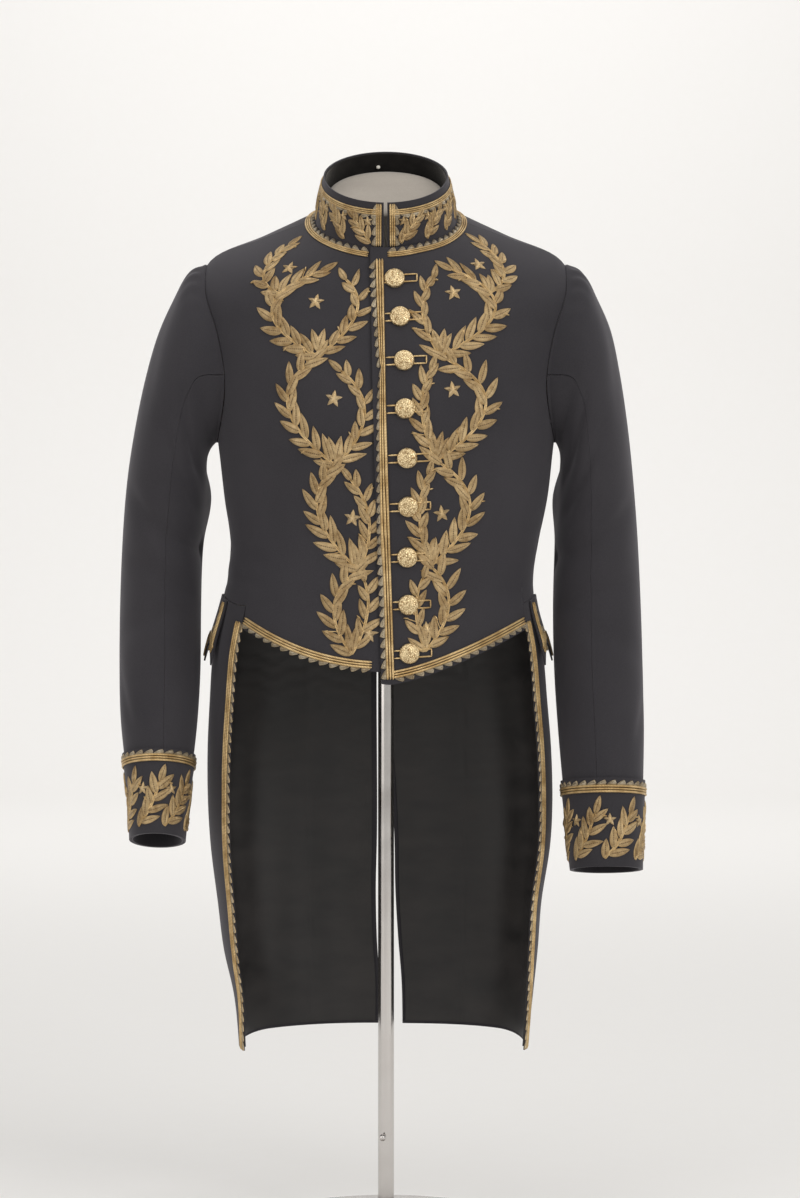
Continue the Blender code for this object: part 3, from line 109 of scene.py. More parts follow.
#      z     front edge of the right tail and of the left tail, in degrees from the centre front
tailEdge = ((0.2000, 73.0, 75.5), (0.2200, 72.5, 75.0), (0.3200, 62.0, 67.5), (0.4900, 57.0, 64.5),
            (0.7200, 53.5, 64.0))


# Surfaces

# Cubic Hermite curves through every column of a table, at given values of its first column
def smoothRows(rows, at):
    table = np.array(rows, float)
    knots, values = table[:, 0], table[:, 1:]
    slopes = np.gradient(values, knots, axis=0)
    at = np.asarray(at, float)
    low = np.clip(np.searchsorted(knots, at, side="right") - 1, 0, len(knots) - 2)
    step = (knots[low + 1] - knots[low])[..., None]
    s = np.clip((at - knots[low])[..., None] / step, -0.05, 1.05)
    return ((2 * s**3 - 3 * s**2 + 1) * values[low] + (s**3 - 2 * s**2 + s) * step * slopes[low]
            + (3 * s**2 - 2 * s**3) * values[low + 1] + (s**3 - s**2) * step * slopes[low + 1])


# 0 below low, 1 above high, and the curve 3s² - 2s³ between them
def ease(value, low, high):
    s = np.clip((np.asarray(value, float) - low) / (high - low), 0.0, 1.0)
    return s * s * (3 - 2 * s)


# The body: a ring of superellipses, wider than deep, whose front, side and back heights differ
def bodySurface(angle, down):
    angle, down = np.broadcast_arrays(np.asarray(angle, float), np.asarray(down, float))
    half, shift, frontY, frontZ, sideY, sideZ, backY, backZ, power = np.moveaxis(
        smoothRows(bodyRings, down), -1, 0)
    sine, cosine = np.sin(angle), np.cos(angle)
    along = np.abs(cosine) ** (2 / power)
    endY, endZ = np.where(cosine > 0, frontY, backY), np.where(cosine > 0, frontZ, backZ)
    return np.stack((shift + half * np.sign(sine) * np.abs(sine) ** (2 / power),
                     sideY + (endY - sideY) * along, sideZ + (endZ - sideZ) * along), axis=-1)


# The unit normal: the cross product of the steps along the surface's two parameters
def outward(surface, a, b):
    step = 2e-4
    normal = np.cross(surface(a, b + step) - surface(a, b - step), surface(a + step, b) - surface(a - step, b))
    return normal / np.linalg.norm(normal, axis=-1, keepdims=True)


# A point of the surface moved out along its normal
def placed(surface, a, b, lift):
    a, b = np.broadcast_arrays(np.asarray(a, float), np.asarray(b, float))
    return surface(a, b) + outward(surface, a, b) * np.broadcast_to(np.asarray(lift, float), a.shape)[..., None]


# The body moved out near the centre front, where the left front laps over the right one
def lappingSurface(angle, down):
    points = bodySurface(angle, down)
    lift = coat["lapLift"] * (1 - ease(points[..., 0], *coat["lapTaper"]))
    return points + outward(bodySurface, angle, down) * lift[..., None]


# The ring below the chest at a height, found by halving
def downAt(z):
    low, high = np.full(np.shape(z), 0.40), np.full(np.shape(z), 1.027)
    for _ in range(36):
        middle = (low + high) / 2
        above = smoothRows(bodyRings, middle)[..., 5] > z
        low, high = np.where(above, middle, low), np.where(above, high, middle)
    return (low + high) / 2


# The angle and ring of the front's point seen at x and z from straight ahead, found by halving
def frontPlace(x, z):
    x, z = np.broadcast_arrays(np.asarray(x, float), np.asarray(z, float))
    low, high = np.zeros(x.shape), np.full(x.shape, 0.66)

    def shareAt(down):
        ring = smoothRows(bodyRings, down)
        return ring, np.clip(np.abs(x - ring[..., 1]) / ring[..., 0], 0, 1)

    for _ in range(36):
        middle = (low + high) / 2
        ring, share = shareAt(middle)
        along = (1 - share ** ring[..., 8]) ** (1 / ring[..., 8])
        above = ring[..., 5] + (ring[..., 3] - ring[..., 5]) * along > z
        low, high = np.where(above, middle, low), np.where(above, high, middle)
    ring, share = shareAt((low + high) / 2)
    return np.sign(x - ring[..., 1]) * np.arcsin(share ** (ring[..., 8] / 2)), (low + high) / 2


def frontPath(points):
    points = np.asarray(points, float)
    return np.column_stack(frontPlace(points[:, 0], points[:, 1]))


# The sleeve: ovals between a crown and an under point, tilted forward, drawn to the armhole at the top
def sleeveSurface(side):
    def oval(turn, along):
        crownX, crownZ, underX, underZ, centreY, depth, tilt = np.moveaxis(
            smoothRows(sleeveRows[side], along), -1, 0)
        up, front, tilt = np.cos(turn) / 2, np.sin(turn) * depth, np.radians(tilt)
        bulge = 0.016 * np.exp(-(((along - 5.6) / 1.3) ** 2) - ((turn - 1.28 * math.pi) / 0.55) ** 2)
        return np.stack((side * ((crownX + underX) / 2 + (crownX - underX) * up - bulge),
                         centreY - front * np.cos(tilt),
                         (crownZ + underZ) / 2 + (crownZ - underZ) * up + front * np.sin(tilt)), axis=-1)

    def armhole(turn):
        width = np.where(np.sin(turn) > 0, coat["armholeFront"], coat["armholeBack"]) * 0.991
        down = coat["armholeDown"] - (coat["armholeHalf"] - 0.0007) * np.cos(turn)
        return placed(bodySurface, side * (math.pi / 2 - width * np.sin(turn)), down, 0.0028)

    def surface(turn, along):
        turn, along = np.broadcast_arrays(np.asarray(turn, float), np.asarray(along, float))
        turn = np.mod(-side * turn, tau)
        near = (1 - ease(along, -0.2, 1.6))[..., None]
        points = oval(turn, np.clip(along, 0, None))
        points = points + near * (armhole(turn) - oval(turn, np.zeros(turn.shape)))
        return points - np.clip(-along, 0, 1)[..., None] * np.array((side * 0.0040, 0.0, 0.0))

    return surface


# The cuff: the sleeve moved out by its own thickness
def cuffSurface(side):
    sleeve = sleeveSurface(side)
    return lambda turn, along: placed(sleeve, turn, along, coat["cuffProud"])


# The collar: the neckline carried up a tilted axis and leaned inward; drop 0 is its top edge
def collarSurface(angle, drop):
    angle, drop = np.broadcast_arrays(np.asarray(angle, float), np.asarray(drop, float))
    foot = bodySurface(angle, np.zeros(angle.shape))
    height = 0.049 + 0.004 * (1 - np.cos(angle)) / 2
    inward = bodySurface(np.array((0.0, math.pi)), np.zeros(2)).mean(axis=0) - foot
    inward = inward / np.linalg.norm(inward, axis=-1, keepdims=True)
    rise = (0.0004 + height * (1 - drop))[..., None]
    return foot + np.array((0.0, -0.46, 0.888)) * rise + inward * (0.0095 * np.abs(1 - drop) ** 1.3)[..., None]


def lapEdgeX(z):
    rows = np.array(lapEdge)
    return np.interp(z, rows[:, 0], rows[:, 1])


# The waist seam is level at the front and rises to the side on an ease curve
def waistSeamZ(angle):
    low, high = coat["waistSeam"]
    return low + (high - low) * ease(np.degrees(np.abs(angle)), 54, 92)


# The front's hem rises from its point as a power of the distance from the middle
def hemZ(side, angle):
    z = np.full(np.shape(angle), coat["hemLow"][side])
    for _ in range(4):
        x = np.abs(bodySurface(angle, downAt(z))[..., 0])
        z = coat["hemLow"][side] + coat["hemRise"][side] * (x / coat["hemReach"]) ** coat["hemCurve"][side]
    return np.minimum(z, coat["hemEndZ"])


# The hip flap hangs from the waist seam and stands off the tail as a power of its drop
def flapSurface(side):
    standOff = {-1: 0.0075, 1: 0.0080}[side]

    def surface(angle, drop):
        angle, drop = np.broadcast_arrays(np.asarray(angle, float), np.asarray(drop, float))
        lift = 0.0024 + standOff * (np.abs(drop) / 0.078) ** 1.2
        return placed(bodySurface, angle, downAt(waistSeamZ(angle) - drop), lift)

    return surface


# Meshes

# The row and the column of every face of a grid
def gridPlaces(rows, columns):
    row, column = np.meshgrid(np.arange(rows), np.arange(columns), indexing="ij")
    return row.ravel(), column.ravel()


# Collects closed forms that are given as whole arrays and makes one mesh of them
class Gather:
    def __init__(self):
        self.points, self.faces, self.places, self.count = [], [], [], 0

    # Faces are turned round together when the volume that they close is negative
    def keep(self, points, faces, places):
        flat = points.reshape(-1, 3)
        middle = flat.mean(axis=0)
        volume = 0.0
        for face in faces:
            corners = flat[face] - middle
            for index in range(1, face.shape[1] - 1):
                cross = np.cross(corners[:, index], corners[:, index + 1])
                volume += (corners[:, 0] * cross).sum()
        turn = slice(None, None, -1) if volume < 0 else slice(None)
        for face, place in zip(faces, places):
            self.faces.append(face[:, turn] + self.count)
            self.places.append(place[:, turn])
        self.points.append(flat)
        self.count += len(flat)

    # Rings round a form, (forms, rows, columns, 3), with a pole at each end, (forms, 2, 3)
    def addRings(self, rings, poles, along):
        forms, rows, columns = rings.shape[:3]
        points = np.concatenate((rings.reshape(forms, -1, 3), poles), axis=1)
        base = (np.arange(forms) * (rows * columns + 2))[:, None, None]
        row, column = gridPlaces(rows - 1, columns)
        after = (column + 1) % columns
        quads = np.stack((row * columns + column, row * columns + after,
                          (row + 1) * columns + after, (row + 1) * columns + column), axis=-1)
        along = np.broadcast_to(along, (forms, rows))
        around = np.stack((column, column + 1, column + 1, column), axis=-1)[None].repeat(forms, 0) / columns
        low, high = along[:, row], along[:, row + 1]
        quadPlaces = np.stack((around, np.stack((low, low, high, high), axis=-1)), axis=-1)
        column, after = np.arange(columns), (np.arange(columns) + 1) % columns
        first = np.stack((np.full(columns, rows * columns), after, column), axis=-1)
        last = (rows - 1) * columns
        second = np.stack((np.full(columns, rows * columns + 1), last + column, last + after), axis=-1)
        fan = np.stack((column + 0.5, column + 1, column), axis=-1)[None].repeat(forms, 0) / columns
        firstPlaces = np.stack((fan, along[:, :1, None].repeat(columns, 1).repeat(3, 2)), axis=-1)
        fan = np.stack((column + 0.5, column, column + 1), axis=-1)[None].repeat(forms, 0) / columns
        secondPlaces = np.stack((fan, along[:, -1:, None].repeat(columns, 1).repeat(3, 2)), axis=-1)
        faces = [(base + part[None]).reshape(-1, part.shape[1]) for part in (quads, first, second)]
        places = [part.reshape(-1, part.shape[2], 2) for part in (quadPlaces, firstPlaces, secondPlaces)]
        self.keep(points, faces, places)

    # A wall between two grids of points; a ring's last column joins its first
    def addWall(self, outer, inner, ring=False):
        rows, columns = outer.shape[:2]
        points = np.concatenate((outer.reshape(-1, 3), inner.reshape(-1, 3)))
        last = columns if ring else columns - 1
        row, column = gridPlaces(rows - 1, last)
        after = (column + 1) % columns
        front = np.stack((row * columns + column, row * columns + after,
                          (row + 1) * columns + after, (row + 1) * columns + column), axis=-1)
        count = rows * columns
        faces = [front, front[:, ::-1] + count]
        column, after = np.arange(last), (np.arange(last) + 1) % columns
        for start, turn in ((0, 1), ((rows - 1) * columns, -1)):
            rim = np.stack((start + column, start + column + count,
                            start + after + count, start + after), axis=-1)
            faces.append(rim[:, ::turn])
        if not ring:
            row = np.arange(rows - 1) * columns
            for start, turn in ((0, -1), (columns - 1, 1)):
                rim = np.stack((row + start, row + start + count, row + start + columns + count,
                                row + start + columns), axis=-1)
                faces.append(rim[:, ::turn])
        places = [np.stack((face % columns / columns, face % count // columns / rows), axis=-1)
                  for face in faces]
        self.keep(points, faces, places)

    def piece(self, name, finish, slot, nodes=(), sharp=math.radians(60)):
        mesh = bpy.data.meshes.new(name)
        points = np.concatenate(self.points)
        mesh.vertices.add(len(points))
        mesh.vertices.foreach_set("co", points.astype(np.float32).ravel())
        loops = np.concatenate([face.ravel() for face in self.faces]).astype(np.int32)
        sizes = np.concatenate([np.full(len(face), face.shape[1]) for face in self.faces])
        starts = np.concatenate(((0,), np.cumsum(sizes)[:-1])).astype(np.int32)
        mesh.loops.add(len(loops))
        mesh.loops.foreach_set("vertex_index", loops)
        mesh.polygons.add(len(sizes))
        mesh.polygons.foreach_set("loop_start", starts)
        mesh.update(calc_edges=True)
        layer = mesh.uv_layers.new(name="UVMap")
        layer.data.foreach_set("uv", np.concatenate([p.reshape(-1) for p in self.places]).astype(np.float32))
        mesh.shade_smooth()
        mesh.set_sharp_from_angle(angle=sharp)
        mesh.materials.append(finish)
        thing = bpy.data.objects.new(name, mesh)
        bpy.context.scene.collection.objects.link(thing)
        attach(thing, "root")
        if nodes:
            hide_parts(*nodes)
        return thing


# Finishes

# A value in a material; arithmetic on it adds Math nodes
class Wire:
    def __init__(self, finish, socket):
        self.finish, self.socket = finish, socket

    def math(self, operation, *others):
        node = self.finish.add("ShaderNodeMath", {"operation": operation}, dict(enumerate((self,) + others)))
        return Wire(self.finish, node.outputs[0])

    def __add__(self, other):
        return self.math("ADD", other)

    __radd__ = __add__

    def __mul__(self, other):
        return self.math("MULTIPLY", other)

    __rmul__ = __mul__

    def __sub__(self, other):
        return self.math("SUBTRACT", other)

    def __rsub__(self, other):
        return (self * -1) + other


class Finish:
    def __init__(self, name, **fixed):
        self.material = bpy.data.materials.new(name)
        self.material.use_nodes = True
        self.tree = self.material.node_tree
        self.shader = self.tree.nodes["Principled BSDF"]
        for socket, value in fixed.items():
            self.shader.inputs[socket.replace("_", " ")].default_value = value

    # Any node: its type, its settings, then the values or links of its sockets
    def add(self, kind, settings=None, sockets=None):
        node = self.tree.nodes.new(kind)
        for name, value in (settings or {}).items():
            setattr(node, name, value)
        for name, value in (sockets or {}).items():
            socket = node.inputs[name]
            if isinstance(value, Wire):
                self.tree.links.new(value.socket, socket)
            elif isinstance(value, bpy.types.NodeSocket):
                self.tree.links.new(value, socket)
            else:
                socket.default_value = value
        return node

    def spot(self, stretch=(1, 1, 1)):
        place = self.add("ShaderNodeTexCoord").outputs["Object"]
        if stretch == (1, 1, 1):
            return place
        return self.add("ShaderNodeMapping", None, {"Vector": place, "Scale": stretch}).outputs[0]

    def noise(self, scale, detail=2.0, stretch=(1, 1, 1)):
        node = self.add("ShaderNodeTexNoise", None, {
            "Vector": self.spot(stretch), "Scale": scale, "Detail": detail})
        return Wire(self, node.outputs[0])

    def uv(self):
        split = self.add("ShaderNodeSeparateXYZ", None, {"Vector": self.add("ShaderNodeUVMap").outputs[0]})
        return Wire(self, split.outputs[0]), Wire(self, split.outputs[1])

    def between(self, value, low, high, fromLow=0.0, fromHigh=1.0):
        node = self.add("ShaderNodeMapRange", {"clamp": True}, {
            "Value": value, "From Min": fromLow, "From Max": fromHigh, "To Min": low, "To Max": high})
        return Wire(self, node.outputs[0])

    def blend(self, share, first, second):
        node = self.add("ShaderNodeMix", {"data_type": "RGBA"}, {0: share, 6: first, 7: second})
        return node.outputs[2]

    def feed(self, socket, value):
        self.tree.links.new(value.socket if isinstance(value, Wire) else value, self.shader.inputs[socket])

    def bump(self, height, distance, strength=1.0):
        node = self.add("ShaderNodeBump", None, {"Height": height, "Distance": distance, "Strength": strength})
        self.feed("Normal", node.outputs[0])


def rgb(red, green, blue):
    return (red, green, blue, 1.0)


def woolFinish(name, dark, light):
    wool = Finish(name, Sheen_Weight=0.22, Sheen_Roughness=0.45, Sheen_Tint=rgb(0.75, 0.72, 0.78),
                  Specular_IOR_Level=0.28)
    nap = wool.noise(900.0, 3.0)
    twill = wool.noise(1500.0, 1.0, (1.0, 1.0, 0.22))
    wear = wool.noise(7.0, 4.0)
    wool.feed("Base Color", wool.blend(wool.between(nap * 0.55 + wear * 0.45, 0, 1, 0.34, 0.66), dark, light))
    wool.feed("Roughness", wool.between(nap, 0.74, 0.92))
    wool.bump(nap * 0.6 + twill * 0.4, 0.00025, 0.55)
    return wool.material


def satinFinish():
    satin = Finish("black satin lining", Sheen_Weight=0.05, Specular_IOR_Level=0.45)
    weft = satin.noise(1300.0, 2.0, (0.12, 0.12, 1.0))
    patches = satin.noise(18.0, 4.0, (1.0, 1.0, 2.4))
    satin.feed("Base Color", satin.blend(satin.between(patches, 0, 1, 0.35, 0.7), rgb(0.0095, 0.0082, 0.0080),
                                         rgb(0.021, 0.018, 0.017)))
    satin.feed("Roughness", satin.between(patches, 0.38, 0.62))
    satin.bump(weft, 0.00012, 0.5)
    return satin.material


def velvetFinish():
    velvet = Finish("black velvet collar lining", Sheen_Weight=0.6, Sheen_Roughness=0.35,
                    Sheen_Tint=rgb(0.55, 0.52, 0.48), Specular_IOR_Level=0.15)
    pile = velvet.noise(1600.0, 2.0)
    brushed = velvet.noise(45.0, 3.0)
    velvet.feed("Base Color", velvet.blend(velvet.between(brushed, 0, 1, 0.3, 0.7), rgb(0.009, 0.008, 0.008),
                                           rgb(0.020, 0.018, 0.017)))
    velvet.feed("Roughness", velvet.between(pile, 0.82, 0.98))
    velvet.bump(pile, 0.0003, 0.6)
    return velvet.material


# Padded leaves: threads run slantwise off a dark middle vein, with a bright cord round the edge
def leafFinish(name, dark, light, threads=1500.0):
    gold = Finish(name, Metallic=0.72)
    u, v = gold.uv()
    across = (u * tau).math("COSINE")
    aside = across.math("ABSOLUTE")
    thread = ((v * threads - aside * 3.4) * tau).math("SINE")
    vein = gold.between(aside, 1.0, 0.0, 0.05, 0.17)
    dashes = gold.between((v * 420.0 * tau).math("SINE"), 0.35, 1.0, -0.3, 0.4)
    rim = gold.between(aside, 0.0, 1.0, 0.80, 0.93)
    tarnish = gold.noise(38.0, 4.0)
    glints = gold.noise(240.0, 2.0)
    shade = gold.between(tarnish * 0.6 + glints * 0.4, 0.0, 1.0, 0.36, 0.66)
    base = gold.blend(shade, dark, light)
    threaded = gold.blend(gold.between(thread, 0.0, 0.5, -1.0, 1.0), base, rgb(0.13, 0.075, 0.030))
    rimmed = gold.blend(rim * 0.55, threaded, rgb(0.70, 0.50, 0.25))
    gold.feed("Base Color", gold.blend(vein * dashes * 0.85, rimmed, rgb(0.050, 0.028, 0.014)))
    gold.feed("Roughness", gold.between(thread, 0.30, 0.52, -1.0, 1.0))
    gold.bump(gold.between(thread, 0.0, 1.0, -1.0, 1.0) - vein * 0.9 + rim * 0.5, 0.00030, 0.8)
    return gold.material


# Twisted cord: a sine of the way round plus the way along, with painted shade in the grooves between the twists
def cordFinish(name, dark, light, twists=620.0, metallic=0.75):
    gold = Finish(name, Metallic=metallic)
    u, v = gold.uv()
    twist = ((v * twists + u) * tau).math("SINE")
    tarnish = gold.noise(60.0, 3.0)
    base = gold.blend(gold.between(tarnish, 0.0, 1.0, 0.35, 0.65), dark, light)
    # painted shade: the colour darkens toward dark brown where the twist is low, in the grooves between the
    # strands
    gold.feed("Base Color", gold.blend(gold.between(twist, 0.55, 0.0, -1.0, 0.4),
                                       base, rgb(0.12, 0.070, 0.028)))
    gold.feed("Roughness", gold.between(twist, 0.45, 0.30, -1.0, 1.0))
    gold.bump(gold.between(twist, 0.0, 1.0, -1.0, 1.0), 0.00035, 0.9)
    return gold.material


def giltFinish():
    gilt = Finish("gilt button face", Metallic=0.85)
    cells = gilt.add("ShaderNodeTexVoronoi", {"feature": "DISTANCE_TO_EDGE"}, {
        "Vector": gilt.spot(), "Scale": 520.0})
    edge = gilt.between(Wire(gilt, cells.outputs[0]), 0.0, 1.0, 0.02, 0.28)
    grime = gilt.noise(300.0, 3.0)
    gilt.feed("Base Color", gilt.blend(gilt.between(edge * 0.5 + grime * 0.7, 0.0, 1.0, 0.30, 0.72),
                                       rgb(0.26, 0.15, 0.055), rgb(0.86, 0.70, 0.42)))
    gilt.feed("Roughness", gilt.between(grime, 0.24, 0.46, 0.3, 0.7))
    gilt.bump(edge * 0.7 + grime * 0.5, 0.00035, 0.7)
    return gilt.material


def jerseyFinish():
    jersey = Finish("grey form jersey", Sheen_Weight=0.25, Sheen_Roughness=0.5)
    knit = jersey.noise(1100.0, 2.0, (1.0, 1.0, 0.35))
    fade = jersey.noise(14.0, 3.0)
    jersey.feed("Base Color", jersey.blend(jersey.between(knit * 0.5 + fade * 0.5, 0.0, 1.0, 0.36, 0.64),
                                           rgb(0.235, 0.205, 0.170), rgb(0.330, 0.290, 0.245)))
    jersey.feed("Roughness", jersey.between(knit, 0.75, 0.95))
    jersey.bump(knit, 0.0003, 0.6)
    return jersey.material


def steelFinish():
    steel = Finish("polished steel", Metallic=1.0)
    drawn = steel.noise(600.0, 2.0, (1.0, 1.0, 0.03))
    smears = steel.noise(35.0, 3.0)
    steel.feed("Base Color", steel.blend(smears, rgb(0.52, 0.49, 0.47), rgb(0.68, 0.66, 0.64)))
    steel.feed("Roughness", steel.between(smears * 0.7 + drawn * 0.3, 0.10, 0.26, 0.3, 0.7))
    steel.bump(drawn, 0.00004, 0.4)
    return steel.material


def pearlFinish():
    pearl = Finish("pearl stud", Coat_Weight=0.6, Coat_Roughness=0.12, Roughness=0.3)
    cloud = pearl.noise(700.0, 2.0)
    pearl.feed("Base Color", pearl.blend(cloud, rgb(0.62, 0.58, 0.50), rgb(0.86, 0.84, 0.78)))
    return pearl.material


finishes = {
    "wool": woolFinish("navy wool", rgb(0.0185, 0.0170, 0.0205), rgb(0.0330, 0.0305, 0.0350)),
    "satin": satinFinish(),
    "velvet": velvetFinish(),
    "leaf": leafFinish("gold thread leaves", rgb(0.36, 0.235, 0.105), rgb(0.80, 0.60, 0.33)),
    "star": leafFinish("gold thread stars", rgb(0.42, 0.28, 0.13), rgb(0.82, 0.64, 0.38), 900.0),
    "cord": cordFinish("gold cord", rgb(0.50, 0.33, 0.14), rgb(0.84, 0.62, 0.32)),
    "tooth": leafFinish("pale scallop thread", rgb(0.34, 0.27, 0.17), rgb(0.74, 0.66, 0.50), 1300.0),
    "gilt": giltFinish(),
    "jersey": jerseyFinish(),
    "steel": steelFinish(),
    "pearl": pearlFinish(),
}
print("finishes ready", len(finishes))


# Cloth

# Soft troughs: each is a Gaussian across its line and flatter along it, in metres of the unrolled cloth
def troughs(u, v, rows):
    rows = np.array(rows, float)
    u0, v0, heading, half, width, depth = (rows[:, i].reshape((-1,) + (1,) * np.ndim(u)) for i in range(6))
    cosine, sine = np.cos(np.radians(heading)), np.sin(np.radians(heading))
    along = (u - u0) * cosine + (v - v0) * sine
    across = (v - v0) * cosine - (u - u0) * sine
    return -(depth * np.exp(-((across / width) ** 2) - (along / half) ** 4)).sum(axis=0)


# The flat cut of a curved grid: its widest row, its longest column and its area
def cutOf(grid):
    wide = np.linalg.norm(np.diff(grid, axis=1), axis=-1).sum(axis=1).max()
    long = np.linalg.norm(np.diff(grid, axis=0), axis=-1).sum(axis=0).max()
    cross = np.cross(grid[1:, 1:] - grid[:-1, :-1], grid[1:, :-1] - grid[:-1, 1:])
    return float(wide), float(long), float(np.linalg.norm(cross, axis=-1).sum() / 2)


def clothPiece(name, outer, inner, finish, slot, node, ring=False):
    gather = Gather()
    gather.addWall(outer, inner, ring)
    piece = gather.piece(name, finish, slot, [node])
    wide, long, area = cutOf(np.concatenate((outer, outer[:, :1]), axis=1) if ring else outer)
    print(f"{name}: cut {wide:.3f} x {long:.3f} m, {area:.4f} m2")
    return piece


def armholeReach(down, width):
    share = np.clip(np.abs(down - coat["armholeDown"]) / coat["armholeHalf"], 0, 1)
    return width * np.sqrt(1 - share**2)


def panelRings():
    yoke = np.linspace(0, 0.135, 18)[:-1]
    sides = coat["armholeDown"] - coat["armholeHalf"] * np.cos(np.linspace(0, math.pi, 40))
    return np.concatenate((yoke, sides, np.linspace(0.335, 0.484, 26)[1:]))


# A front: columns spread from its edge to the armhole or the side seam, rows down to the hem
frontFolds = {
    -1: ((0.150, 0.890, 62, 0.060, 0.012, 0.0016), (0.128, 0.800, 74, 0.045, 0.010, 0.0010),
         (0.160, 0.765, 20, 0.035, 0.009, 0.0012), (0.165, 0.735, 8, 0.030, 0.007, 0.0010)),
    1: ((0.152, 0.905, 64, 0.055, 0.012, 0.0014), (0.150, 0.775, 15, 0.040, 0.010, 0.0014),
        (0.135, 0.725, 5, 0.045, 0.008, 0.0009), (0.160, 0.830, 70, 0.040, 0.009, 0.0010)),
}


def buildFronts():
    for side, name, surface in ((-1, "right_front", bodySurface), (1, "left_front", lappingSurface)):
        corner, seam = coat["tailCorner"][side], coat["seamAngle"]
        near = np.linspace(0, corner, 60)
        far = np.linspace(corner + math.radians(0.5), math.pi / 2 - seam, 16)
        atHem = np.concatenate((near, far))
        share = atHem / atHem[-1]
        bottom = downAt(np.concatenate((hemZ(side, side * near), waistSeamZ(far))))
        rings = panelRings()
        reach = math.pi / 2 - armholeReach(rings, coat["armholeFront"]) - seam
        angles = np.concatenate((reach[:, None] * share, np.broadcast_to(atHem, (14, len(atHem)))))
        parts = np.linspace(0, 1, 15)[1:, None]
        downs = np.concatenate((np.broadcast_to(rings[:, None], (len(rings), len(share))),
                                rings[-1] + (bottom - rings[-1]) * parts))
        edgeZ = bodySurface(side * angles[:, 0], downs[:, 0])[:, 2]
        edge, _ = frontPlace(lapEdgeX(edgeZ) if side > 0 else np.full(len(edgeZ), coat["underLapEdge"]), edgeZ)
        lastNear = angles[:, len(near) - 1:len(near)]
        spread = angles / lastNear
        moved = edge[:, None] + (side * lastNear - edge[:, None]) * spread
        angles = np.where(spread <= 1.0, moved, side * angles)
        plain = surface(angles, downs)
        fold = troughs(np.abs(plain[..., 0]), plain[..., 2], frontFolds[side])
        outer = placed(surface, angles, downs, fold)
        clothPiece(name + "_cloth", outer, placed(surface, angles, downs, fold - coat["cloth"]),
                   finishes["wool"],
                   "wool_cloth", name)


backFolds = ((0.060, 0.770, 8, 0.050, 0.010, 0.0014), (0.120, 0.745, -14, 0.050, 0.009, 0.0012),
             (0.130, 0.860, 60, 0.070, 0.014, 0.0018), (0.050, 0.950, 78, 0.080, 0.016, 0.0012),
             (0.150, 0.800, 40, 0.035, 0.008, 0.0010))


def buildBacks():
    seam = coat["seamAngle"]
    for side, name in ((-1, "right_back"), (1, "left_back")):
        share = np.linspace(0, 1, 52)
        rings = panelRings()
        start = (math.pi / 2 + armholeReach(rings, coat["armholeBack"]) + seam)[:, None]
        hem = math.pi / 2 + seam + (math.pi / 2 - 2 * seam) * share
        angles = np.concatenate((start + (math.pi - seam - start) * share, np.broadcast_to(hem, (8, len(hem)))))
        parts = np.linspace(0, 1, 9)[1:, None]
        bottom = downAt(waistSeamZ(hem))
        downs = np.concatenate((np.broadcast_to(rings[:, None], (len(rings), len(share))),
                                rings[-1] + (bottom - rings[-1]) * parts))
        angles = angles * side
        plain = bodySurface(angles, downs)
        fold = troughs(np.abs(plain[..., 0]) + 0.012 * side, plain[..., 2], backFolds)
        clothPiece(name + "_cloth", placed(bodySurface, angles, downs, fold),
                   placed(bodySurface, angles, downs, fold - coat["cloth"]),
                   finishes["wool"], "wool_cloth", name)


# The tails hang in slow waves that deepen to the hem; the lining has puckers under the waist and two seams
tail = {"wave": 0.0016, "waves": 5.0, "pucker": 0.0007, "puckerPitch": 0.0085, "seamDepth": 0.0010}


def tailGrid(side, rows, columns):
    heights = np.linspace(0, 1, rows)[:, None]
    table = np.array(tailEdge)
    middleZ = coat["waistSeam"][0] + (coat["tailHem"][0] - coat["waistSeam"][0]) * heights
    start = np.radians(np.interp(middleZ, table[:, 0], table[:, 2 if side > 0 else 1]) + 0.62)
    low, high = coat["ventEdge"][side]
    vent = low + (high - low) * heights
    angle = start + (math.pi - vent / 0.14 - start) * np.linspace(0, 1, columns)
    top = waistSeamZ(angle) - 0.0008
    hem = coat["tailHem"][0] + (coat["tailHem"][1] - coat["tailHem"][0]) * ease(
        (angle - start) / (math.pi - start), 0, 0.5)
    return angle * side, downAt(top + (hem - top) * heights), heights


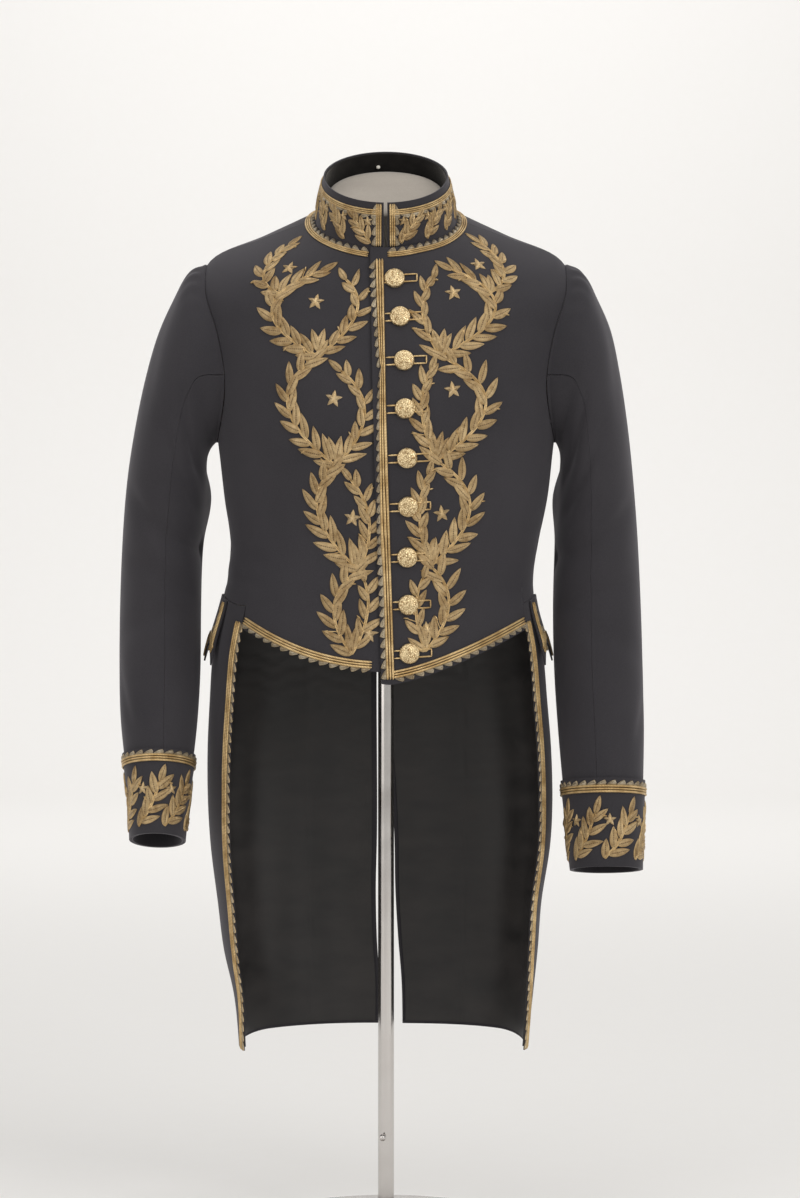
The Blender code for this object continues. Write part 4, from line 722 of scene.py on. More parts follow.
def buildTails():
    for side, name in ((-1, "right_tail"), (1, "left_tail")):
        angles, downs, heights = tailGrid(side, 90, 84)
        wave = tail["wave"] * heights * np.sin(np.abs(angles) * tail["waves"] + 1.1 * side + heights * 0.9)
        wave = wave * ease(np.abs(angles), np.abs(angles[:, :1]), np.abs(angles[:, :1]) + 0.45)
        outer = placed(bodySurface, angles, downs, wave)
        normal = outward(bodySurface, angles, downs)
        clothPiece(name + "_cloth", outer, outer - normal * 0.0015,
                   finishes["wool"], "wool_cloth", name)
        z = outer[..., 2]
        near = np.exp(-(((z - 0.655) / 0.055) ** 2)) + 0.35 * np.exp(-(((z - 0.545) / 0.03) ** 2))
        bend = 0.003 * np.sin(outer[..., 0] * 60) + 0.0016 * np.sin(outer[..., 0] * 171 + 2)
        pucker = tail["pucker"] * near * np.sin((z + bend) / tail["puckerPitch"] * tau)
        slack = 0.0012 * np.sin(np.abs(angles) * 17 + heights * 5) * heights * (1 - heights) * 2
        seams = tail["seamDepth"] * (np.exp(-(((z - 0.512 + 0.05 * outer[..., 0]) / 0.0016) ** 2))
                                     + np.exp(-(((np.abs(outer[..., 0]) - 0.088) / 0.0014) ** 2)))
        face = 0.0020 + np.clip(0.0014 + pucker + slack - seams, 0.0002, None)
        inset = 0.0035
        keep = 1 - 2 * inset / 0.30
        angles = angles.mean(axis=1, keepdims=True) + (angles - angles.mean(axis=1, keepdims=True)) * keep
        downs = downs.mean() + (downs - downs.mean()) * (1 - 2 * inset / 0.5)
        out = placed(bodySurface, angles, downs, wave - 0.0019)
        inn = placed(bodySurface, angles, downs, wave - 0.0002 - face)
        clothPiece(name + "_satin", out, inn, finishes["satin"], "satin_lining", name + "_lining")


# Sleeve folds: where it bends at the elbow, under the arm and above the cuff, as troughs on the unrolled sleeve
#    way round  way down  heading  half length  width  depth, in metres and degrees
sleeveFolds = {
    -1: ((0.075, 0.330, 28, 0.050, 0.011, 0.0040), (0.090, 0.375, 12, 0.055, 0.010, 0.0034),
         (0.070, 0.415, -12, 0.045, 0.009, 0.0026), (0.105, 0.250, 48, 0.055, 0.012, 0.0030),
         (0.120, 0.180, 62, 0.060, 0.013, 0.0030), (-0.085, 0.360, -20, 0.050, 0.011, 0.0034),
         (-0.105, 0.300, -44, 0.055, 0.012, 0.0030), (0.040, 0.500, 66, 0.050, 0.010, 0.0018),
         (-0.050, 0.475, -58, 0.055, 0.012, 0.0022), (0.150, 0.340, 4, 0.050, 0.011, 0.0036),
         (0.030, 0.150, 80, 0.070, 0.016, 0.0018), (-0.040, 0.170, -82, 0.070, 0.017, 0.0016)),
    1: ((-0.078, 0.345, -24, 0.050, 0.011, 0.0038), (-0.094, 0.392, -8, 0.055, 0.010, 0.0032),
        (-0.066, 0.430, 14, 0.045, 0.009, 0.0024), (-0.110, 0.262, -50, 0.055, 0.012, 0.0030),
        (-0.124, 0.190, -64, 0.060, 0.013, 0.0028), (0.082, 0.372, 22, 0.050, 0.011, 0.0034),
        (0.108, 0.312, 42, 0.055, 0.012, 0.0028), (-0.038, 0.520, -62, 0.050, 0.010, 0.0018),
        (0.052, 0.490, 60, 0.055, 0.012, 0.0022), (-0.152, 0.352, -2, 0.050, 0.011, 0.0034),
        (-0.028, 0.160, -80, 0.070, 0.016, 0.0018), (0.042, 0.175, 80, 0.070, 0.017, 0.0016)),
}
sleeve = {"columns": {"top": 60, "under": 40}, "rows": 150, "headPuckers": 0.0012}


def sleeveFold(side, turn, along):
    around = np.mod(turn + math.pi, tau) - math.pi
    fold = troughs(around * 0.055, along * 0.050, sleeveFolds[side]) * ease(along, 0.5, 2.0)
    fold = fold * (1 - ease(along, coat["cuffTop"] - 1.0, coat["cuffTop"] - 0.3))
    head = np.exp(-((around / 0.9) ** 2)) * np.exp(-(((along - 0.75) / 0.6) ** 2))
    return fold + sleeve["headPuckers"] * head * np.sin(around * 23)


def buildSleeves():
    step = tau / 14
    for side, word in ((-1, "right"), (1, "left")):
        surface = sleeveSurface(side)
        for part, start, end in (("top", -4 * step, 4 * step), ("under", 4 * step, 10 * step)):
            turns = np.linspace(start + 0.004, end - 0.004, sleeve["columns"][part])
            alongs = np.linspace(-0.6, 13.0, sleeve["rows"])
            turn, along = np.meshgrid(turns, alongs)
            fold = sleeveFold(side, turn, along)
            name = f"{word}_{part}_sleeve"
            clothPiece(name + "_cloth", placed(surface, turn, along, fold),
                       placed(surface, turn, along, fold - coat["cloth"]), finishes["wool"], "wool_cloth", name)
        turn, along = np.meshgrid(np.arange(120) * tau / 120, np.linspace(coat["cuffTop"], 13.0, 24))
        cuff = cuffSurface(side)
        clothPiece(word + "_cuff_cloth", placed(cuff, turn, along, 0.0), placed(cuff, turn, along, -0.0018),
                   finishes["wool"], "wool_cloth", word + "_cuff",
                   ring=True)


def buildCollarAndFlaps():
    end = math.radians(1.6)
    angle, drop = np.meshgrid(np.linspace(end, tau - end, 200), np.linspace(0, 1, 22))
    clothPiece("collar_cloth", placed(collarSurface, angle, drop, 0.0),
               placed(collarSurface, angle, drop, -0.0016),
               finishes["wool"], "wool_cloth", "collar")
    gather = Gather()
    angle, drop = np.meshgrid(np.linspace(end + 0.01, tau - end - 0.01, 200), np.linspace(0.02, 0.98, 22))
    gather.addWall(placed(collarSurface, angle, drop, -0.0018), placed(collarSurface, angle, drop, -0.0030))
    velvet = gather.piece("collar_velvet", finishes["velvet"], "wool_cloth")
    for side, word in ((-1, "right"), (1, "left")):
        angle, share = np.meshgrid(side * np.radians(np.linspace(71, 109, 46)), np.linspace(0, 1, 26))
        drop = 0.0010 + share * flapDrop(angle)
        surface = flapSurface(side)
        clothPiece(word + "_flap_cloth", surface(angle, drop), placed(surface, angle, drop, -0.0018),
                   finishes["wool"], "wool_cloth", word + "_flap")


# A flap's length: a long middle point and a shorter one at each end, from a sine of the way across
def flapDrop(angle):
    middle = (np.degrees(np.abs(angle)) - 90) / 19
    return 0.078 - 0.024 * np.abs(np.sin(middle * math.pi)) ** 0.9 - 0.006 * middle**2


buildFronts()
buildBacks()
buildTails()
buildSleeves()


# Gold work

# Places an even step apart along a path on a surface, with one metre along and across it in the parameters
def stepsAlong(surface, path, spacing):
    path = np.asarray(path, float)
    points = surface(path[:, 0], path[:, 1])
    length = np.concatenate(((0,), np.cumsum(np.linalg.norm(np.diff(points, axis=0), axis=1))))
    at = np.linspace(0, length[-1], max(2, int(round(length[-1] / spacing)) + 1))
    places = np.column_stack([np.interp(at, length, path[:, axis]) for axis in (0, 1)])
    heading, across = framesAt(surface, places)
    return places, heading, across, at


def framesAt(surface, places, headings=None):
    a, b = places[:, 0], places[:, 1]
    step = 1e-4
    alongA = (surface(a + step, b) - surface(a - step, b)) / (2 * step)
    alongB = (surface(a, b + step) - surface(a, b - step)) / (2 * step)
    if headings is None:
        headings = np.gradient(surface(a, b), axis=0)
    headings = headings / np.linalg.norm(headings, axis=-1, keepdims=True)
    normal = np.cross(alongB, alongA)
    normal = normal / np.linalg.norm(normal, axis=-1, keepdims=True)
    headings = headings - normal * (headings * normal).sum(axis=-1, keepdims=True)
    headings = headings / np.linalg.norm(headings, axis=-1, keepdims=True)
    across = np.cross(normal, headings)
    inverse = np.linalg.pinv(np.stack((alongA, alongB), axis=-1))
    return np.einsum("nij,nj->ni", inverse, headings), np.einsum("nij,nj->ni", inverse, across)


# Local forms, (forms, rows, columns) of along, across and lift, laid on the surface at their places
def laid(surface, places, heading, across, x, y, z):
    shape = (len(places),) + (1,) * (x.ndim - 1) + (2,)
    spot = places.reshape(shape) + x[..., None] * heading.reshape(shape) + y[..., None] * across.reshape(shape)
    return placed(surface, spot[..., 0], spot[..., 1], z)


leaf = {"rows": 9, "columns": 12, "height": 0.0019, "groove": 0.40, "lift": 0.0001}


# Pillow leaves: half width (1 - s)^0.85 s^0.6, a domed top with a groove along the middle, a flat back
def addLeaves(gather, surface, rows):
    table = np.array([list(row[0]) + list(row[1]) + list(row[2]) + list(row[3:]) for row in rows], float)
    places, heading, across = table[:, 0:2], table[:, 2:4], table[:, 4:6]
    length, width, spread, bend, lift = (table[:, i][:, None, None] for i in range(6, 11))
    along = heading * np.cos(spread[:, 0]) + across * np.sin(spread[:, 0])
    aside = across * np.cos(spread[:, 0]) - heading * np.sin(spread[:, 0])
    s = np.linspace(0, 1, leaf["rows"] + 2)[None, 1:-1, None]
    phi = (np.arange(leaf["columns"]) * tau / leaf["columns"])[None, None]
    full = (1 - s) ** 0.85 * s**0.60
    full = full / full.max()
    dome = np.clip(np.sin(phi), 0, None) ** 0.75 * (1 - leaf["groove"] * np.exp(-((np.cos(phi) / 0.22) ** 2)))
    x = length * (s - 0.03) + 0 * phi
    y = np.cos(phi) * full * width / 2 + bend * length * s**2
    z = lift + leaf["height"] * full**0.55 * dome - 0.0004 * np.clip(-np.sin(phi), 0, None)
    rings = laid(surface, places, along, aside, x, y, z + 0 * x)
    ends = np.array((-0.03, 0.985))[None]
    poleY = bend[:, 0] * length[:, 0] * np.array((0.0, 1.0))[None]
    poles = laid(surface, places, along, aside, length[:, 0] * ends, poleY,
                 lift[:, 0] + 0 * ends * length[:, 0])
    gather.addRings(rings, poles, length[:, 0] * s[0, :, 0][None])


# A cord: a round section, a little flattened, carried along a path at a sideways offset
def addCord(gather, surface, path, radius, offset=0.0, lift=0.0, spacing=0.0028, flat=0.85):
    places, heading, across, at = stepsAlong(surface, path, spacing)
    places = places + across * offset
    phi = np.arange(8) * tau / 8
    size = np.full(len(places), radius)
    size[[0, -1]] *= 0.55
    x = np.zeros((len(places), 8))
    y = np.cos(phi)[None] * size[:, None]
    z = lift + np.sin(phi)[None] * size[:, None] * flat
    rings = laid(surface, places, heading, across, x, y, z)
    push = np.array((-1.0, 1.0)) * radius * 0.5
    poles = laid(surface, places[[0, -1]], heading[[0, -1]], across[[0, -1]], push,
                 np.zeros(2), np.full(2, lift))
    gather.addRings(rings[None], poles[None], at[None])


# Scallops: each rises on a quarter sine to its tip, falls back quickly, and is domed from root to rim
def addTeeth(gather, surface, path, base, depth, side, pitch=0.0112, lift=0.0003):
    places, heading, across, _ = stepsAlong(surface, path, pitch)
    count = len(places) - 1
    apart = np.linalg.norm(np.diff(surface(places[:, 0], places[:, 1]), axis=0), axis=1)[:, None, None]
    s = np.array((0.06, 0.2, 0.4, 0.58, 0.72, 0.82, 0.90, 0.96))[None, :, None]
    rise = np.where(s < 0.74, np.sin(np.clip(s / 0.74, 0, 1) * math.pi / 2) ** 0.8,
                    (1 - (s - 0.74) / 0.27) ** 0.6)
    phi = (np.arange(10) * tau / 10)[None, None]
    t = 0.5 * (1 - np.cos(phi))
    x = apart * (s + 0.16 * t * rise) + 0 * phi
    y = side * (base + depth * rise * t) + 0 * x
    z = lift + 0.0013 * np.clip(np.sin(phi), 0, None) ** 0.7 * rise**0.5
    z = z - 0.0005 * np.clip(-np.sin(phi), 0, None)
    rings = laid(surface, places[:count], heading[:count], across[:count], x, y, z + 0 * x)
    poleX = apart[:, 0] * np.array((0.0, 1.0))[None]
    poles = laid(surface, places[:count], heading[:count], across[:count], poleX, 0 * poleX + side * base,
                 0 * poleX + lift)
    gather.addRings(rings, poles, apart[:, 0] * s[0, :, 0][None])


braid = {"cords": ((0.16, 0.00135), (0.50, 0.00115), (0.84, 0.00135)), "tooth": 0.0052, "width": 0.0085}


def addBraid(cords, teeth, surface, path, side, width=braid["width"], depth=braid["tooth"]):
    for share, radius in braid["cords"]:
        addCord(cords, surface, path, radius * width / braid["width"], side * width * share, 0.0010)
    addTeeth(teeth, surface, path, width * 0.97, depth, side)


# A round bud on a thin stalk
def addBerry(gather, surface, place, heading, across, spread, reach, radius=0.0021):
    along = heading * math.cos(spread) + across * math.sin(spread)
    path = place + along * np.linspace(0, reach, 6)[:, None]
    addCord(gather, surface, path, 0.00055, 0.0, 0.0003, 0.0016)
    tip = (place + along * (reach + radius * 0.8))[None]
    rise = np.linspace(-0.9, 1.25, 6)
    phi = np.arange(10) * tau / 10
    y = radius * np.cos(rise)[:, None] * np.cos(phi)[None]
    x = radius * np.cos(rise)[:, None] * np.sin(phi)[None] * 1.15
    z = 0.0008 + radius * 0.8 * np.sin(rise)[:, None] + 0 * x
    rings = laid(surface, tip, along[None], across[None], x[None], y[None], z[None])
    poles = laid(surface, tip, along[None], across[None], np.zeros((1, 2)), np.zeros((1, 2)),
                 np.array([[0.0008 - radius * 0.8, 0.0008 + radius * 0.82]]))
    gather.addRings(rings, poles, np.linspace(0, 0.004, 6)[None])


# A five-pointed star: rings of its outline shrink to a raised middle
def addStar(gather, surface, place, radius, turned=0.0):
    heading, across = framesAt(surface, np.array(place)[None], np.array([[0.0, 0.0, 1.0]]))
    turns = np.arange(20) * tau / 20 + turned
    corner = np.where(np.arange(20) % 4 == 0, 1.0, np.where(np.arange(20) % 4 == 2, 0.43, 0.640))
    size = np.array((0.60, 0.97, 1.0, 0.80, 0.40))[:, None]
    high = np.array((-0.0004, -0.0001, 0.0005, 0.0011, 0.0021))[:, None]
    x = size * corner * radius * np.cos(turns)
    y = size * corner * radius * np.sin(turns)
    rings = laid(surface, np.array(place)[None], heading, across, x[None], y[None], (high + 0 * x)[None])
    poles = laid(surface, np.array(place)[None], heading, across, np.zeros((1, 2)), np.zeros((1, 2)),
                 np.array([[-0.0004, 0.0029]]))
    gather.addRings(rings, poles, np.array((0.0, 0.002, 0.0022, 0.004, 0.007))[None])


# A stem from start to end that bows out to a bulge half way, as a parabola
def bow(start, bulge, end, count=25):
    share = np.linspace(0, 1, count)[:, None]
    start, bulge, end = (np.array(point, float) for point in (start, bulge, end))
    control = 2 * bulge - (start + end) / 2
    return (1 - share) ** 2 * start + 2 * share * (1 - share) * control + share**2 * end


# A branch: a double stem, leaves in pairs that point the way it grows, buds between them, a leaf at the tip
def growBranch(work, surface, path, pitch=0.0165, length=0.0300, width=0.0094, sides=(1, -1), tip=True, buds=3,
               first=0, spread=40):
    places, heading, across, at = stepsAlong(surface, path, pitch)
    rng = np.random.default_rng(int(1e5 * abs(float(np.sum(path[0])))) % 9973)
    for offset in (-0.00085, 0.00085):
        addCord(work["cords"], surface, path, 0.00085, offset, 0.0007)
    count = len(places)
    for index in range(first, count - 1):
        grown = 1 - 0.20 * index / count
        for order, side in enumerate(sides):
            shift = heading[index] * pitch * (0.42 * order)
            vary = rng.uniform(-1, 1, 4)
            work["leaves"].append((places[index] + shift, heading[index], across[index],
                                   length * grown * (1 + 0.10 * vary[0]), width * (1 + 0.08 * vary[1]),
                                   math.radians(spread + 7 * vary[2]) * side, -0.10 * side + 0.05 * vary[3],
                                   leaf["lift"] + 0.0004 * (index % 2) + 0.0002 * order))
        if buds and index % buds == 1:
            side = sides[(index // buds) % len(sides)]
            addBerry(work["cords"], surface, places[index] + heading[index] * pitch * 0.7, heading[index],
                     across[index], math.radians(58) * side, length * 0.42)
    if tip:
        work["leaves"].append((places[-1], heading[-1], across[-1], length * 0.82, width * 0.9, 0.0, 0.04,
                               leaf["lift"] + 0.0003))


# Each cell of the fronts' ornament: the crossing below it, how far its outer and inner stems bow, its star
#    node_x   node_z  outer_x  inner_x  star_x   star_z
cells = {
    -1: ((-0.0364, 0.6560, -0.0560, -0.0190, -0.0180, 0.6780),
         (-0.0290, 0.7475, -0.0734, -0.0190, -0.0360, 0.8040),
         (-0.0538, 0.8607, -0.1060, -0.0230, -0.0560, 0.9330),
         (-0.0734, 0.9792, -0.1240, -0.0300, -0.0760, 1.0400),
         (-0.0620, 1.0780, None, None, None, None)),
    1: ((0.0430, 0.6590, 0.0690, 0.0330, 0.0450, 0.6820), (0.0484, 0.7519, 0.0920, 0.0370, 0.0610, 0.8090),
        (0.0550, 0.8661, 0.1090, 0.0390, 0.0730, 0.9430), (0.0593, 0.9792, 0.1200, 0.0400, 0.0740, 1.0500),
        (0.0640, 1.0800, None, None, None, None)),
}
shoulder = {-1: ((-0.1340, 1.0740), (-0.1080, 1.1080), (-0.1060, 1.0800)),
            1: ((0.1300, 1.0780), (0.1040, 1.1120), (0.1020, 1.0840))}


def buildFrontGold():
    for side, word in ((-1, "right"), (1, "left")):
        surface = lappingSurface if side > 0 else bodySurface
        work = {"leaves": [], "cords": Gather()}
        stars = Gather()
        for lower, upper in zip(cells[side], cells[side][1:]):
            start, end = np.array(lower[:2]), np.array(upper[:2])
            middle = lower[1] * 0.45 + upper[1] * 0.55
            outer = bow(start, (lower[2], middle), end)
            growBranch(work, surface, frontPath(outer[:-1]), pitch=0.0172, spread=38)
            inner = bow(start, (lower[3], middle), end)
            growBranch(work, surface, frontPath(inner[:-4]), pitch=0.0185, length=0.0250,
                       width=0.0086, spread=34)
            fan = framesAt(surface, frontPath([start + (0, 0.006)]), np.array([[0.0, 0.0, 1.0]]))
            for turn in (-16, 14):
                work["leaves"].append((frontPath([start + (0, 0.006)])[0], fan[0][0], fan[1][0], 0.0275, 0.0090,
                                       math.radians(turn), 0.05, 0.0006))
            addStar(stars, surface, frontPath([lower[4:6]])[0], 0.0098, 0.15 * side)
        bulge, end, star = shoulder[side]
        middle = cells[side][3][1] * 0.45 + cells[side][4][1] * 0.55
        start = bow(cells[side][3][:2], (cells[side][3][2], middle),
                    cells[side][4][:2], 13)[8]
        growBranch(work, surface, frontPath(bow(start, bulge, end)), length=0.0260, pitch=0.0165)
        addStar(stars, surface, frontPath([star])[0], 0.0098, 0.15 * side)
        leaves = Gather()
        addLeaves(leaves, surface, work["leaves"])
        leaves.piece(f"{word}_front_leaves", finishes["leaf"], "gold_thread", [f"{word}_front_embroidery"])
        work["cords"].piece(f"{word}_front_stems", finishes["cord"], "gold_thread")
        stars.piece(f"{word}_front_stars", finishes["star"], "gold_thread")
        print(word, "front leaves", len(work["leaves"]))


def beside(surface, path, distance):
    return path + framesAt(surface, path)[1] * distance


def hemLine(side, inset):
    start = math.asin(0.0125 / 0.18) if side > 0 else math.asin(0.004 / 0.18)
    angles = np.linspace(start * side, side * (coat["tailCorner"][side] - 0.012), 60)
    return np.column_stack((angles, downAt(hemZ(side, angles) + inset)))


def buildBraids():
    inset = braid["width"] + braid["tooth"] + 0.0006
    cords, teeth = Gather(), Gather()
    heights = np.linspace(1.0860, coat["hemLow"][1] + braid["tooth"] + 0.001, 60)
    addBraid(cords, teeth, lappingSurface, frontPath(np.column_stack((lapEdgeX(heights) + inset, heights))), -1)
    addBraid(cords, teeth, lappingSurface, hemLine(1, inset), -1)
    cords.piece("lap_cords", finishes["cord"], "gold_thread", ["lap_braid"])
    teeth.piece("lap_scallops", finishes["tooth"], "gold_thread")
    cords, teeth = Gather(), Gather()
    addBraid(cords, teeth, bodySurface, hemLine(-1, inset), 1)
    cords.piece("right_hem_cords", finishes["cord"], "gold_thread", ["right_hem_braid"])
    teeth.piece("right_hem_scallops", finishes["tooth"], "gold_thread")
    for side, word, surface in ((-1, "right", bodySurface), (1, "left", lappingSurface)):
        cords, teeth = Gather(), Gather()
        front = math.asin({-1: 0.0180, 1: 0.0020}[side] / 0.0790)
        angles = np.linspace(side * front, side * (math.pi - 0.003), 90)
        neckline = np.column_stack((angles, np.full(angles.shape, 0.0004)))
        path = beside(surface, neckline, -side * (0.0006 + braid["tooth"] + 0.0065))
        addBraid(cords, teeth, surface, path, side, 0.0065)
        cords.piece(word + "_neck_cord", finishes["cord"], "gold_thread", [word + "_neck_braid"])
        teeth.piece(word + "_neck_scallops", finishes["tooth"], "gold_thread")
        cords, teeth = Gather(), Gather()
        table = np.array(tailEdge)
        heights = np.linspace(coat["hemEndZ"] + 0.004, coat["tailHem"][0] + 0.001, 80)
        angles = np.radians(np.interp(heights, table[:, 0], table[:, 2 if side > 0 else 1]) + 0.62)
        angles = angles + inset / 0.175
        path = np.column_stack((side * angles, downAt(heights)))
        addBraid(cords, teeth, bodySurface, path, -side)
        cords.piece(word + "_tail_cords", finishes["cord"], "gold_thread", [word + "_tail_braid"])
        teeth.piece(word + "_tail_scallops", finishes["tooth"], "gold_thread")
        surface = flapSurface(side)
        cords, teeth = Gather(), Gather()
        across = np.concatenate((np.full(10, 72.6), np.linspace(72.8, 107.2, 60), np.full(10, 107.4)))
        angles = side * np.radians(across)
        full = flapDrop(angles) - 0.0015
        drops = np.concatenate((np.linspace(0.004, full[9] - 0.004, 10), full[10:70] - 0.004,
                                np.linspace(full[70] - 0.004, 0.004, 10)))
        path = np.column_stack((angles, drops))
        for offset in (0.0, 0.0028, 0.0056):
            addCord(cords, surface, path, 0.0012, side * offset, 0.0010)
        addTeeth(teeth, surface, path, 0.0070, 0.0045, side)
        cords.piece(word + "_flap_cords", finishes["cord"], "gold_thread")
        teeth.piece(word + "_flap_scallops", finishes["tooth"], "gold_thread")


def buildCollarGold():
    for side, word in ((-1, "right"), (1, "left")):
        work = {"leaves": [], "cords": Gather()}
        teeth, stars = Gather(), Gather()
        first, last = math.radians(1.6) + 0.030, math.pi - 0.004
        angles = (side * np.linspace(first, last, 90)) % tau
        top = np.column_stack((angles, np.full(angles.shape, 0.150)))
        addBraid(work["cords"], teeth, collarSurface, top, -side, 0.0060, 0.0050)
        edge = np.column_stack((np.full(15, angles[0]), np.linspace(0.035, 0.96, 15)))
        addBraid(work["cords"], teeth, collarSurface, edge, side, 0.0060, 0.0050)
        for start in np.arange(first + 0.16, last - 0.10, 0.40):
            run = np.linspace(start, start + 0.27, 12)
            lower = np.column_stack(((side * run) % tau, 0.90 - 0.50 * ((run - start) / 0.27) ** 0.8))
            growBranch(work, collarSurface, lower, pitch=0.0120, length=0.0190, width=0.0072, buds=2, spread=36)
            if start < last - 0.45:
                addStar(stars, collarSurface, ((side * (start + 0.045)) % tau, 0.42), 0.0062)
        leaves = Gather()
        addLeaves(leaves, collarSurface, work["leaves"])
        leaves.piece(word + "_collar_leaves", finishes["leaf"], "gold_thread", [word + "_collar_embroidery"])
        work["cords"].piece(word + "_collar_cords", finishes["cord"], "gold_thread")
        teeth.piece(word + "_collar_scallops", finishes["tooth"], "gold_thread")
        stars.piece(word + "_collar_stars", finishes["star"], "gold_thread")


def buildCuffGold():
    for side, word in ((-1, "right"), (1, "left")):
        surface = cuffSurface(side)
        work = {"leaves": [], "cords": Gather()}
        teeth, stars = Gather(), Gather()
        turns = np.linspace(0.02, tau - 0.02, 120)
        path = np.column_stack((turns, np.full(turns.shape, coat["cuffTop"] + 0.30)))
        addBraid(work["cords"], teeth, surface, path, 1)
        for number in range(7):
            start = number * tau / 7 + 0.12
            run = np.linspace(0, 1, 12)
            stem = np.column_stack((start + 0.70 * run, 12.80 - 1.10 * run**0.8 + 0.25 * np.sin(run * math.pi)))
            growBranch(work, surface, stem, pitch=0.0135, length=0.0250, width=0.0086, buds=2, spread=38)
            addStar(stars, surface, (start + 0.16, 11.85), 0.0075)
        leaves = Gather()
        addLeaves(leaves, surface, work["leaves"])
        leaves.piece(word + "_cuff_leaves", finishes["leaf"], "gold_thread", [word + "_cuff_embroidery"])
        work["cords"].piece(word + "_cuff_cords", finishes["cord"], "gold_thread")
        teeth.piece(word + "_cuff_scallops", finishes["tooth"], "gold_thread")
        stars.piece(word + "_cuff_stars", finishes["star"], "gold_thread")


buildFrontGold()
buildBraids()
buildCollarGold()
buildCuffGold()
buildCollarAndFlaps()
print("gold work laid")

# Buttons

buttonPlaces = ((0.0098, 1.0640), (0.0158, 1.0217), (0.0201, 0.9740), (0.0212, 0.9220), (0.0234, 0.8689),
                (0.0245, 0.8168), (0.0234, 0.7615), (0.0245, 0.7095), (0.0256, 0.6564))
button = {"radius": 0.0112, "height": 0.0066, "rim": 0.0012, "bumps": 46, "bump": 0.00042}


# A dome turned from a quarter ellipse over a flat back, its face raised by small Gaussian bumps
def buttonForm():
    turn = np.linspace(0.05, math.pi / 2, 22)
    across = np.concatenate((button["radius"] * np.sin(turn), [button["radius"], button["radius"] * 0.9]))
    high = np.concatenate((button["rim"] + (button["height"] - button["rim"]) * np.cos(turn), [0.0003, 0.0]))
    phi = np.arange(48) * tau / 48
    x, y = across[:, None] * np.cos(phi), across[:, None] * np.sin(phi)
    rng = np.random.default_rng(11)
    spots = rng.uniform(0, 1, (button["bumps"], 2))
    spotR, spotA = button["radius"] * 0.92 * np.sqrt(spots[:, 0]), spots[:, 1] * tau
    apart = (x[..., None] - spotR * np.cos(spotA)) ** 2 + (y[..., None] - spotR * np.sin(spotA)) ** 2
    relief = button["bump"] * np.exp(-apart / 0.0011**2).sum(axis=-1)
    ring = 0.0004 * np.exp(-(((across / button["radius"] - 0.93) / 0.04) ** 2))
    z = high[:, None] + (relief + ring[:, None]) * (high > 0.0005)[:, None]
    return np.stack((x, y, z), axis=-1), np.array(((0, 0, button["height"] + 0.0003), (0, 0, 0.0)))


def buildButtons():
    rings, poles = buttonForm()
    loops = Gather()
    for number, (x, z) in enumerate(buttonPlaces, start=1):
        angle, down = frontPlace(x, z)
        normal = outward(lappingSurface, angle, down)
        seat = placed(lappingSurface, angle, down, 0.0004)
        turned = np.array(Vector((0, 0, 1)).rotation_difference(Vector(normal)).to_matrix())
        spin = number * 0.9
        swing = np.array(((math.cos(spin), -math.sin(spin), 0), (math.sin(spin), math.cos(spin), 0), (0, 0, 1)))
        gather = Gather()
        gather.addRings((rings @ swing.T @ turned.T + seat)[None], (poles @ swing.T @ turned.T + seat)[None],
                        np.linspace(0, 0.02, len(rings))[None])
        gather.piece(f"button_{number}_gilt", finishes["gilt"], "gilt_button", [f"button_{number}"])
        left, right, half, lean = lapEdgeX(z) + 0.0150, x + 0.0240, 0.0040, 0.0012
        box = np.array(((left, z - half - lean), (right, z - half + lean),
                        (right, z + half + lean), (left, z + half - lean)))
        for start, end in zip(box, box[1:]):
            run = start + (end - start) * np.linspace(0, 1, 14)[:, None]
            addCord(loops, lappingSurface, frontPath(run), 0.00095, 0.0, 0.0012)
    loops.piece("buttonhole_loops", finishes["cord"], "gold_thread")


buildButtons()
print("buttons and loops")

# Form, stud and stand


# A body of revolution from (radius, height) points, with its poles on the axis
def turnedForm(gather, profile, columns=64, place=(0, 0, 0), aim=None):
    profile = np.array(profile, float)
    phi = np.arange(columns) * tau / columns
    rings = np.stack((profile[1:-1, :1] * np.cos(phi), profile[1:-1, :1] * np.sin(phi),
                      profile[1:-1, 1:] + 0 * phi), axis=-1)
    poles = np.array(((0, 0, profile[0, 1]), (0, 0, profile[-1, 1])))
    if aim is not None:
        turned = np.array(Vector((0, 0, 1)).rotation_difference(Vector(aim)).to_matrix())
        rings, poles = rings @ turned.T, poles @ turned.T
    gather.addRings((rings + place)[None], (poles + place)[None], profile[1:-1, 1][None])


# Extra points close to each corner keep a turned edge crisp
def crisp(profile, close=0.0006):
    profile = np.array(profile, float)
    rows = [profile[0]]
    for before, corner, after in zip(profile, profile[1:], profile[2:]):
        for other in (before, after):
            gap = other - corner
            rows.append(corner + gap * min(0.3, close / max(np.linalg.norm(gap), 1e-6)))
    return np.array(rows + [profile[-1]])


